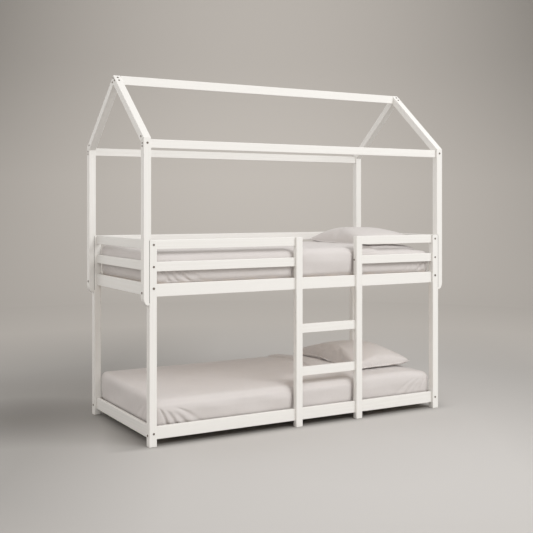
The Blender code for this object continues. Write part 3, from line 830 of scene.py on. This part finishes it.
def pillow_cover(puckers, seed):
    """Two panels that share their rim, as a thin lens: points, faces, flat places and the rim's loop."""
    across = np.linspace(-1, 1, PANEL_COLUMNS + 1)
    along = np.linspace(-1, 1, PANEL_ROWS + 1)
    wide, long = across * PANEL_HALF_WIDE, along * PANEL_HALF_LONG
    index = {}
    faces = []
    flats = []
    for side in (1, -1):
        for corners in quads(PANEL_COLUMNS, PANEL_ROWS, side):
            keys = [(i, j, side if 0 < i < PANEL_COLUMNS and 0 < j < PANEL_ROWS else 0) for i, j in corners]
            faces.append([index.setdefault(key, len(index)) for key in keys])
            flats += [(wide[i] + PANELS_APART * side, long[j]) for i, j in corners]
    points = np.array([(wide[i], long[j], k) for i, j, k in index])
    fullness = [math.sqrt((1 - across[i] ** 4) * (1 - along[j] ** 4)) for i, j, _ in index]
    points[:, 2] *= LENS_THICKNESS * np.array(fullness)
    points[:, 2] *= 1 + 0.25 * puckers * soft_waves(points[:, 0], points[:, 1], seed, 0.35)
    columns, rows = range(PANEL_COLUMNS), range(PANEL_ROWS)
    rim = [(i, 0) for i in columns] + [(PANEL_COLUMNS, j) for j in rows]
    rim += [(PANEL_COLUMNS - i, PANEL_ROWS) for i in columns] + [(0, PANEL_ROWS - j) for j in rows]
    return points, faces, np.array(flats), [index[(i, j, 0)] for i, j in rim]


# %% Blow it up
PILLOW_PRESSURE = 2.0
CLOTH_STIFFNESS = 70.0
CLOTH_BENDING = 0.12
CLOTH_FRAMES = 20
CLOTH_CAP = 0.085


def blow_up(piece):
    """Where the cloth simulation takes a cover's points."""
    start = np.array([v.co[:] for v in piece.data.vertices])
    cloth = piece.modifiers.new("swell", "CLOTH")
    cloth.settings.quality = 6
    cloth.settings.mass = 0.3
    cloth.settings.tension_stiffness = CLOTH_STIFFNESS
    cloth.settings.compression_stiffness = CLOTH_STIFFNESS
    cloth.settings.shear_stiffness = CLOTH_STIFFNESS / 3
    cloth.settings.bending_stiffness = CLOTH_BENDING
    cloth.settings.use_pressure = True
    cloth.settings.uniform_pressure_force = PILLOW_PRESSURE
    cloth.settings.effector_weights.gravity = 0
    cloth.collision_settings.use_collision = False
    cloth.point_cache.frame_start = 1
    cloth.point_cache.frame_end = CLOTH_FRAMES
    for step in range(1, CLOTH_FRAMES + 1):
        bpy.context.scene.frame_set(step)
    swollen = piece.evaluated_get(bpy.context.evaluated_depsgraph_get()).to_mesh()
    moved = np.array([v.co[:] for v in swollen.vertices])
    piece.modifiers.remove(cloth)
    bpy.context.scene.frame_set(1)
    swelling = moved - start
    length = np.linalg.norm(swelling, axis=1)[:, None]
    return start + swelling * np.minimum(1, CLOTH_CAP / np.maximum(length, 1e-9))


# %% Lay it down
HEM_WIDTH = 0.011
CORNER_LIFT = 0.012
DOME_POWER = 0.8
TOP_ROOM = 0.006
BELLY_DEPTH = 0.075
SHEET_GAP = 0.0004
FLOOR_SOFTNESS = 0.004
CALM_ROUNDS = 24


def smooth_out(points, edges, rounds):
    """Average every point with its neighbours a few times, which takes the sharpest puckers out."""
    count = np.bincount(edges.ravel(), minlength=len(points))[:, None]
    for _ in range(rounds):
        total = np.zeros_like(points)
        np.add.at(total, edges[:, 0], points[edges[:, 1]])
        np.add.at(total, edges[:, 1], points[edges[:, 0]])
        points = (points + total / count) / 2
    return points


def lay_down(points, low, high, puckers, seed, seam_lift, extra_height, corner_pull, corner_thin):
    """Fit a swollen cover to its CAD solid's place, with a flat underside.

    Its back left corner is pulled aside by corner_pull, and thinned or filled by corner_thin.
    """
    half = np.array([(high.x - low.x) / 2, (high.y - low.y) / 2])
    centre = np.array([(high.x + low.x) / 2, (high.y + low.y) / 2])
    laid = points.copy()
    laid[:, :2] *= (half - HEM_WIDTH) / np.abs(laid[:, :2]).max(0)
    x, y, z = laid.T.copy()
    u, v = x / half[0], y / half[1]
    left, back = held(-u), held(v)
    lift = seam_lift + CORNER_LIFT * held(u * -v * 1.15) ** 2
    lift += 0.0018 * puckers * soft_waves(x, y, seed + 5, 0.30)
    share = held(np.abs(z) / z.max()) ** (DOME_POWER + corner_thin * left * held(v + 0.3))
    wave = 0.004 * puckers * soft_waves(x, y, seed, 0.30) * ease(share, 0.1, 0.6)
    above = lift + (high.z - low.z + extra_height - TOP_ROOM - lift) * share + wave
    below = FLOOR_SOFTNESS * np.logaddexp(0, (lift - share * BELLY_DEPTH) / FLOOR_SOFTNESS)
    laid[:, 2] = np.where(z > 0, above, below) + low.z + SHEET_GAP
    laid[:, :2] += centre + (left ** 2 * back ** 3)[:, None] * corner_pull
    return laid


# %% Sew the hem
HEM_FLATNESS = 0.3
HEM_ROUNDS = 6
HEM_GIRTH_STEP = 0.003
HEM_SECTION = (
    (-0.003, 0.0010), (0.004, 0.0012), (0.0095, 0.0010), (0.0110, 0.0),
    (0.0095, -0.0010), (0.004, -0.0012), (-0.003, -0.0010),
)


def unit(vectors):
    """Vectors made one long."""
    return vectors / np.linalg.norm(vectors, axis=1)[:, None]


def hem_strip(name, loop, inner):
    """The flat sewn hem round the rim: a thin closed band that stands out from the seam."""
    along = unit(np.roll(loop, -1, 0) - np.roll(loop, 1, 0))
    out = loop - inner
    out -= along * (out * along).sum(1)[:, None]
    out[:, 2] *= HEM_FLATNESS
    out = unit(out)
    for _ in range(HEM_ROUNDS):
        out = (np.roll(out, 1, 0) + out * 2 + np.roll(out, -1, 0)) / 4
    out = unit(out)
    up = np.cross(along, out)
    up *= np.sign(up[:, 2:3])
    count, sides = len(loop), len(HEM_SECTION)
    run = np.concatenate([[0], np.cumsum(np.linalg.norm(np.roll(loop, -1, 0) - loop, axis=1))])
    points = np.concatenate([loop + out * reach + up * height for reach, height in HEM_SECTION])
    faces = []
    flats = []
    for k in range(sides):
        for i in range(count):
            ring = [(k, i), (k, i + 1), (k + 1, i + 1), (k + 1, i)]
            faces.append([a % sides * count + b % count for a, b in ring])
            flats += [(run[b], HEM_GIRTH_STEP * a) for a, b in ring]
    strip = new_piece(name, points, faces, flats, cover_cotton)
    shell = bmesh.new()
    shell.from_mesh(strip.data)
    bmesh.ops.recalc_face_normals(shell, faces=shell.faces[:])
    shell.to_mesh(strip.data)
    shell.free()
    return strip, (loop, along, out, up)


def keep_result(piece, modifier):
    """Make a modifier's result the piece's own mesh, and take the modifier away."""
    made = bpy.data.meshes.new_from_object(piece.evaluated_get(bpy.context.evaluated_depsgraph_get()))
    piece.modifiers.remove(modifier)
    piece.data = made


def finish_smooth(piece):
    """One subdivision, kept in the mesh."""
    modifier = piece.modifiers.new("smooth", "SUBSURF")
    modifier.levels = modifier.render_levels = 1
    keep_result(piece, modifier)
    piece.data.polygons.foreach_set("use_smooth", [True] * len(piece.data.polygons))


# %% Make both pillows
def pillow_in_cover(level, puckers, seed, **shape):
    """One pillow with its hem, and with all or a share of its puckers."""
    low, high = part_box(f"{level}_pillow")
    points, faces, flats, rim = pillow_cover(puckers, seed)
    piece = new_piece(f"{level}_pillow_in_cover", points, faces, flats, cover_cotton)
    swollen = blow_up(piece)
    edges = np.array([edge.vertices[:] for edge in piece.data.edges])
    if puckers < 1:
        swollen = smooth_out(swollen, edges, CALM_ROUNDS)
    laid = lay_down(swollen, low, high, puckers, seed, **shape)
    piece.data.vertices.foreach_set("co", laid.ravel())
    piece.data.update()
    inward = edges[np.isin(edges, rim).sum(1) == 1]
    inner = []
    for k in rim:
        near = inward[(inward == k).any(1)]
        near = near[near != k]
        inner.append(laid[near].mean(0) if len(near) else laid[k] * 0.97 + laid.mean(0) * 0.03)
    hem, hem_frame = hem_strip(f"{level}_pillow_hem", laid[rim], np.array(inner))
    for part in (piece, hem):
        finish_smooth(part)
        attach(part, f"{level}_pillow")
    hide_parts(f"{level}_pillow")
    print(piece.name, "faces:", len(piece.data.polygons), "hem:", len(hem.data.polygons))
    return hem_frame


lower_hem_frame = pillow_in_cover(
    "lower", puckers=1.0, seed=41,
    seam_lift=0.013, extra_height=0.010, corner_pull=(0.0, 0.0), corner_thin=-0.26,
)
upper_hem_frame = pillow_in_cover(
    "upper", puckers=0.25, seed=57,
    seam_lift=0.005, extra_height=-0.004, corner_pull=(0.025, -0.055), corner_thin=0.45,
)

# %% [markdown]
# ## Bolt heads, staples and stitches
#
# Small things that repeat are a job for Geometry Nodes. A bolt head is made once, as a flanged disc with
# a chamfer and a six-sided socket, and then set on points that carry the way they face. A staple and a
# stitch are both a short wire that rises, runs flat and dives again, so one tree bends both.

# %% Points that carry directions
def point_cloud(name, places, facings, alongs):
    """A mesh of loose points with the way each one faces, and runs, as attributes."""
    mesh = bpy.data.meshes.new(name)
    mesh.from_pydata([tuple(p) for p in places], [], [])
    for label, vectors in (("facing", facings), ("along", alongs)):
        layer = mesh.attributes.new(label, "FLOAT_VECTOR", "POINT")
        layer.data.foreach_set("vector", np.asarray(vectors, np.float32).ravel())
    return add_object(name, mesh)


def new_geometry_tree(name, sizes, counts):
    """A Geometry Nodes tree with named sizes in metres and named whole numbers."""
    inputs = {"Geometry": GEOMETRY, **dict.fromkeys(sizes, FLOAT), **dict.fromkeys(counts, WHOLE)}
    inputs["Material"] = MATERIAL
    return new_tree(name, "GeometryNodeTree", inputs, {"Geometry": GEOMETRY})


def set_on_points(tree, given, instance, result):
    """End of a tree: the instance on each point, turned to its directions, realised, with its material."""
    kind = "GeometryNodeInputNamedAttribute"
    names = enumerate(("facing", "along"))
    ways = {k: read_node(tree, kind, {"Name": name}, data_type="FLOAT_VECTOR") for k, name in names}
    turn = read_node(tree, "FunctionNodeAxesToRotation", ways, primary_axis="Z", secondary_axis="X")
    inputs = {"Points": given["Geometry"], "Instance": instance, "Rotation": turn}
    placed = read_node(tree, "GeometryNodeInstanceOnPoints", inputs)
    real = read_node(tree, "GeometryNodeRealizeInstances", {0: placed})
    done = read_node(tree, "GeometryNodeSetMaterial", {"Geometry": real, "Material": given["Material"]})
    fill(tree, result, {"Geometry": done})


def run_tree(piece, tree, values, body):
    """Run a tree on a piece, keep the result as a plain mesh, and let it ride on its body."""
    modifier = piece.modifiers.new(tree.name, "NODES")
    modifier.node_group = tree
    for item in tree.interface.items_tree:
        if item.in_out == "INPUT" and item.name in values:
            modifier[item.identifier] = values[item.name]
    keep_result(piece, modifier)
    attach(piece, body)
    print(piece.name, "faces:", len(piece.data.polygons))


# %% Bolt head tree
head_tree, given, result = new_geometry_tree(
    "bolt_heads", ["Head Radius", "Head Height", "Chamfer", "Socket Radius", "Socket Depth"], ["Sides"]
)


def raised_by(tree, geometry, height):
    """Geometry moved up."""
    up = read_node(tree, "ShaderNodeCombineXYZ", {"Z": height})
    return read_node(tree, "GeometryNodeTransform", {"Geometry": geometry, "Translation": up})


flank = given["Head Height"] - given["Chamfer"]
inputs = {"Vertices": given["Sides"], "Radius": given["Head Radius"], "Depth": flank}
disc = read_all(head_tree, "GeometryNodeMeshCylinder", inputs)
inputs = {"Mesh": disc["Mesh"], "Selection": disc["Top"], "Offset Scale": given["Chamfer"]}
step = read_all(head_tree, "GeometryNodeExtrudeMesh", inputs, mode="FACES")
shrunk = (given["Head Radius"] - given["Chamfer"]) / given["Head Radius"]
inputs = {"Geometry": step["Mesh"], "Selection": step["Top"], "Scale": shrunk}
chamfered = read_node(head_tree, "GeometryNodeScaleElements", inputs, domain="FACE")
inputs = {"Vertices": 6, "Radius": given["Socket Radius"], "Depth": given["Socket Depth"] * 2.0}
socket = read_node(head_tree, "GeometryNodeMeshCylinder", inputs, "Mesh")
inputs = {"Mesh 1": chamfered, "Mesh 2": raised_by(head_tree, socket, flank * 0.5 + given["Chamfer"])}
bored = read_node(head_tree, "GeometryNodeMeshBoolean", inputs, operation="DIFFERENCE", solver="EXACT")
set_on_points(head_tree, given, raised_by(head_tree, bored, flank * 0.5), result)
print("tree:", head_tree.name)

# %% Where the bolt heads sit
HOUSE_FACE_X = 1.0725
HOUSE_MIDDLE_X = 1.050
RAIL_LINE_X = 1.012
RAIL_BOLT_HEIGHTS = (1.133, 1.009, 0.074)
EAVE_SIDE_BOLT_HEIGHT = 1.704
EAVE_END_BOLTS = ((0.4655, 1.7026), (0.4655, 1.686), (0.446, 1.742))
RAFTER_BOLT_REACHES = (0.024, 0.054)
RIDGE_BOLTS = ((0.0, 2.122), (0.016, 2.098), (-0.024, 2.106))
LADDER_SCREW_PLACE = (-0.4625, 1.009)
SOCKET_WAY = (0.1, 0.3, 0.95)
HEAD_SIZES = {
    "Head Radius": 0.0062, "Head Height": 0.0018, "Chamfer": 0.0005,
    "Socket Radius": 0.0026, "Socket Depth": 0.0012, "Sides": 24,
}
fall, level_share = math.sin(roof_pitch), math.cos(roof_pitch)
heads = []
for x_sign in (-1, 1):
    for y_sign in (-1, 1):
        side, end = (0, y_sign, 0), (x_sign, 0, 0)
        for height in RAIL_BOLT_HEIGHTS:
            heads.append(((x_sign * RAIL_LINE_X, y_sign * HALF_DEPTH, height), side))
        heads.append(((x_sign * HOUSE_MIDDLE_X, y_sign * HALF_DEPTH, EAVE_SIDE_BOLT_HEIGHT), side))
        for y, z in EAVE_END_BOLTS:
            heads.append(((x_sign * HOUSE_FACE_X, y_sign * y, z), end))
        for reach in RAFTER_BOLT_REACHES:
            place = (x_sign * HOUSE_MIDDLE_X, y_sign * level_share * reach, RIDGE_HEIGHT - fall * reach)
            heads.append((place, (0, y_sign * fall, level_share)))
    heads += [((x_sign * HOUSE_FACE_X, y, z), (x_sign, 0, 0)) for y, z in RIDGE_BOLTS]
for post, inward in zip(LADDER_POSTS, (1, -1)):
    heads.append(((post + inward * LADDER_POST_HALF, *LADDER_SCREW_PLACE), (inward, 0, 0)))
places, facings = zip(*heads)
cloud = point_cloud("bolt_heads", places, facings, [SOCKET_WAY] * len(heads))
run_tree(cloud, head_tree, {**HEAD_SIZES, "Material": steel}, "bed_frame")

# %% Bent wire tree
BEND = 1.34
wire_tree, given, result = new_geometry_tree(
    "bent_wires", ["Span", "Rise", "Dive", "Wire Radius"], ["Steps", "Sides"]
)
half_span = given["Span"] * 0.5
inputs = {"Resolution": given["Steps"]}
for name, sign, up in (
    ("Start", -1.0, given["Dive"] * -1.0), ("Start Handle", -1.0, given["Rise"] * BEND),
    ("End Handle", 1.0, given["Rise"] * BEND), ("End", 1.0, given["Dive"] * -1.0),
):
    inputs[name] = read_node(wire_tree, "ShaderNodeCombineXYZ", {"X": half_span * sign, "Z": up})
path = read_node(wire_tree, "GeometryNodeCurvePrimitiveBezierSegment", inputs)
inputs = {"Resolution": given["Sides"], "Radius": given["Wire Radius"]}
ring = read_node(wire_tree, "GeometryNodeCurvePrimitiveCircle", inputs)
inputs = {"Curve": path, "Profile Curve": ring, "Fill Caps": True}
set_on_points(wire_tree, given, read_node(wire_tree, "GeometryNodeCurveToMesh", inputs), result)
print("tree:", wire_tree.name)

# %% Staples
SLAT_COUNT = 14
SLAT_END = 0.988 - 0.034
STAPLE_SHIFT = 0.014
STAPLE_SIZES = {
    "Span": 0.010, "Rise": 0.0007, "Dive": 0.0012, "Wire Radius": 0.00055, "Steps": 8, "Sides": 6,
}
places = [
    (slat_x + shift, strap_y, strap_top)
    for strap_top in strap_tops
    for slat_x in np.linspace(-SLAT_END, SLAT_END, SLAT_COUNT)
    for strap_y in (-STRAP_PLACE, STRAP_PLACE)
    for shift in (-STAPLE_SHIFT, STAPLE_SHIFT)
]
staples = point_cloud("strap_staples", places, [(0, 0, 1)] * len(places), [(0, 1, 0)] * len(places))
run_tree(staples, wire_tree, {**STAPLE_SIZES, "Material": steel}, "bed_frame")

# %% [markdown]
# The hem of a pillow cover is stitched down a few millimetres inside its edge, above and below. The
# stitches follow the hem's own middle line, one every five millimetres.

# %% Stitches
STITCH_PITCH = 0.005
STITCH_INSET = 0.0035
STITCH_HEIGHT = 0.00105
STITCH_SIZES = {
    "Span": 0.0034, "Rise": 0.0003, "Dive": 0.0004, "Wire Radius": 0.00022, "Steps": 5, "Sides": 5,
}


def hem_stitches(level, hem_frame):
    """A row of stitches above and one below the hem, from its rim points and directions."""
    loop, along, out, up = hem_frame
    line = np.vstack([loop, loop[:1]])
    run = np.concatenate([[0], np.cumsum(np.linalg.norm(np.diff(line, axis=0), axis=1))])
    at = np.linspace(0, run[-1], int(run[-1] / STITCH_PITCH), endpoint=False)

    def spread(vectors):
        closed = np.vstack([vectors, vectors[:1]])
        return np.stack([np.interp(at, run, closed[:, k]) for k in range(3)], 1)

    places, ways, ups = spread(loop + out * STITCH_INSET), spread(along), spread(up)
    rows = np.vstack([places + ups * STITCH_HEIGHT, places - ups * STITCH_HEIGHT])
    piece = point_cloud(f"{level}_pillow_stitches", rows, np.vstack([ups, -ups]), np.vstack([ways, ways]))
    values = {**STITCH_SIZES, "Material": cover_cotton}
    run_tree(piece, wire_tree, values, f"{level}_pillow")


hem_stitches("lower", lower_hem_frame)
hem_stitches("upper", upper_hem_frame)

# %% [markdown]
# ## The studio
#
# The bed stands on a sheet of plain paper that turns up into a round wall, so that it can be looked
# at from any side. The wall is there for the camera alone and keeps no light off the bed. Light and
# shade are painted into the paper's grey: a painted pool of light where the studio's lamp falls,
# fading a little away from there and towards the picture's edges, and a painted shadow close round
# the bed and behind its left end, where little light reaches. The wall's grey has the same painted
# shade to the sides and down to the floor.

# %% Floor and wall
FLOOR_RADIUS = 7.0
WALL_RADIUS = 11.0
WALL_TOP = 9.0
STUDIO_SIDES = 96
COVE_STEPS = 16


def ring_surface(name, profile):
    """A surface of rings round the middle, from (radius, height) pairs, open at its rim."""
    shell = bmesh.new()
    angles = [2 * math.pi * side / STUDIO_SIDES for side in range(STUDIO_SIDES)]
    round_way = [(math.cos(angle), math.sin(angle)) for angle in angles]
    rings = [[shell.verts.new((r * x, r * y, height)) for x, y in round_way] for r, height in profile]
    if len(rings) == 1:
        shell.faces.new(rings[0])
    for inner, outer in zip(rings, rings[1:]):
        for side in range(STUDIO_SIDES):
            following = (side + 1) % STUDIO_SIDES
            shell.faces.new((inner[following], inner[side], outer[side], outer[following]))
    for face in shell.faces:
        face.smooth = True
    mesh = bpy.data.meshes.new(name)
    shell.to_mesh(mesh)
    shell.free()
    surface = add_object(name, mesh)
    return surface


cove = []
for step in range(COVE_STEPS + 1):
    angle = math.pi / 2 * step / COVE_STEPS
    reach = WALL_RADIUS - FLOOR_RADIUS
    cove.append((FLOOR_RADIUS + reach * math.sin(angle), reach * (1 - math.cos(angle))))
floor = ring_surface("studio_floor", [(FLOOR_RADIUS, 0.0)])
wall = ring_surface("studio_wall", [*cove, (WALL_RADIUS, WALL_TOP)])
wall.visible_shadow = False
wall.visible_diffuse = False
wall.visible_glossy = False
print("studio:", len(floor.data.polygons) + len(wall.data.polygons), "faces")

# %% Studio paper
FLOOR_GREY = (0.595, 0.575, 0.556, 1)
FLOOR_PAINTED_FALLOFF_GREY = (0.490, 0.472, 0.452, 1)
FLOOR_PAINTED_SHADE_GREY = (0.262, 0.250, 0.235, 1)
FLOOR_PAINTED_LIGHT_PLACE = (-0.1, -1.3, 0.0)
FLOOR_PAINTED_SHADOW_PLACE = (-1.5, 0.55, 0.0)
FLOOR_PAINTED_SHADOW_REACH = 1.4
UNDER_BED_PAINTED_SHADOW = ((-0.95, 0.7, 0.95, 0.3), (-0.46, 0.12, 0.42, 0.7))
WALL_GREY = (0.615, 0.583, 0.546, 1)
WALL_PAINTED_SHADE_GREY = (0.315, 0.297, 0.276, 1)
ACROSS_VIEW = (0.869, -0.495, 0.0)


def studio_paper():
    """Matt paper with painted light and shadow: floor grey round the bed, fading to the wall's own grey."""
    material, tree, shader = new_material("studio_paper")
    place = object_place(tree)
    x, y, z = split(tree, place)
    # A painted shadow under the bed, fading out round its edges and a little weaker at its right end.
    beyond = []
    for part, (low, low_reach, high, high_reach) in zip((x, y), UNDER_BED_PAINTED_SHADOW):
        off = ((part - low) / -low_reach).reckon("MAXIMUM", (part - high) / high_reach)
        beyond.append(off.reckon("MAXIMUM", 0.0).reckon("POWER", 2.0))
    near = (beyond[0] + beyond[1]).reckon("SQRT").onto(0.0, 1.0, 1.0, 0.0)
    near = near * near * x.onto(0.35, 0.75, 1.0, 0.75)
    # A painted pool of light in front of the bed, where the lamp falls, fading with distance.
    away = measure(tree, "DISTANCE", place, FLOOR_PAINTED_LIGHT_PLACE)
    floor = away.onto(0.5, 3.2, 0.0, 1.0).blend(FLOOR_GREY, FLOOR_PAINTED_FALLOFF_GREY)
    # A painted cast shadow on the floor behind the bed's left end.
    painted_floor_shade = measure(tree, "DISTANCE", place, FLOOR_PAINTED_SHADOW_PLACE)
    inputs = {"Value": painted_floor_shade, "From Max": FLOOR_PAINTED_SHADOW_REACH, "To Min": 1.0, "To Max": 0.0}
    painted_floor_shade = read_node(tree, "ShaderNodeMapRange", inputs, interpolation_type="SMOOTHSTEP")
    # Painted shade towards the picture's edges, to the left and to the right.
    across = measure(tree, "DOT_PRODUCT", place, ACROSS_VIEW)
    edge = across.onto(-0.45, -1.3, 0.0, 0.48).reckon("MAXIMUM", across.onto(1.3, 2.2, 0.0, 0.3))
    painted_floor_shade = near.reckon("MAXIMUM", painted_floor_shade).reckon("MAXIMUM", edge)
    floor = painted_floor_shade.blend(floor, FLOOR_PAINTED_SHADE_GREY)
    # Painted shade on the wall: darker to the sides and down towards the floor.
    fall = across.reckon("POWER", 2.0) * (z * 0.0045 + 0.0187)
    low = z.onto(0.0, 1.8, 0.26, 0.0)
    wall = fall.reckon("ADD", low, clamp=True).blend(WALL_GREY, WALL_PAINTED_SHADE_GREY)
    out = measure(tree, "LENGTH", place)
    fill(tree, shader, {
        "Base Color": out.onto(2.2, 4.5, 0, 1).blend(floor, wall),
        "Roughness": 0.95,
        "Specular IOR Level": 0.1,
    })
    return material


paper = studio_paper()
for surface in (floor, wall):
    surface.data.materials.append(paper)
print("paper:", paper.name)

# %% [markdown]
# ## Light
#
# The photograph's light is soft and comes from all round, warm where it has bounced off the studio,
# with one large, slightly cooler lamp high in front and to the right. The front faces are the
# brightest, the left ones are a third darker, and the shadow falls softly to the back left. The sky
# is brightest at half height and keeps the gap under the bed dark. It is stronger in front than
# behind, and a bright card at the back lights the inner faces that look that way.

# %% Sky and lamp
SKY_COLOUR = (1.0, 0.977, 0.952, 1)
SKY_STRENGTHS = ((-0.2, 0.42), (0.15, 0.47), (0.45, 1.20), (0.75, 0.92), (1.0, 0.50))
SKY_FRONT = (-0.30, -0.954, 0.0)
SKY_FRONT_GAINS = (0.44, 1.30)
SKY_CARD = (-0.49, 0.865, 0.10)
SKY_CARD_EDGE = (0.82, 0.96)
SKY_CARD_STRENGTH = 0.9
LAMP_COLOUR = (0.965, 0.985, 1.0)
LAMP_PLACE = Vector((2.3, -6.4, 6.1))
LAMP_AIM = Vector((0, 0, 1.0))
LAMP_SIZE = (5.0, 3.0)
LAMP_POWER = 300

world = bpy.data.worlds.new("studio_light")
bpy.context.scene.world = world
world.use_nodes = True
sky = world.node_tree
direction = read_node(sky, "ShaderNodeTexCoord", output="Generated")
height = split(sky, direction)[2]
strength = SKY_STRENGTHS[0][1]
for (low_at, low_value), (high_at, high_value) in zip(SKY_STRENGTHS, SKY_STRENGTHS[1:]):
    strength = height.onto(low_at, high_at, 0.0, high_value - low_value) + strength
facing = measure(sky, "DOT_PRODUCT", direction, SKY_FRONT)
card = measure(sky, "DOT_PRODUCT", direction, SKY_CARD)
strength = strength * facing.onto(-1.0, 1.0, *SKY_FRONT_GAINS)
strength = strength + card.onto(*SKY_CARD_EDGE, 0.0, SKY_CARD_STRENGTH)
fill(sky, sky.nodes["Background"], {"Color": SKY_COLOUR, "Strength": strength})

lamp_data = bpy.data.lights.new("front_lamp", "AREA")
lamp_data.shape = "RECTANGLE"
lamp_data.size, lamp_data.size_y = LAMP_SIZE
lamp_data.energy = LAMP_POWER
lamp_data.color = LAMP_COLOUR
lamp = add_object("front_lamp", lamp_data)
lamp.location = LAMP_PLACE
lamp.rotation_euler = (LAMP_AIM - LAMP_PLACE).to_track_quat("-Z", "Y").to_euler()
bpy.context.scene.view_settings.view_transform = "Standard"
print("lamp:", lamp.name, LAMP_POWER, "W")
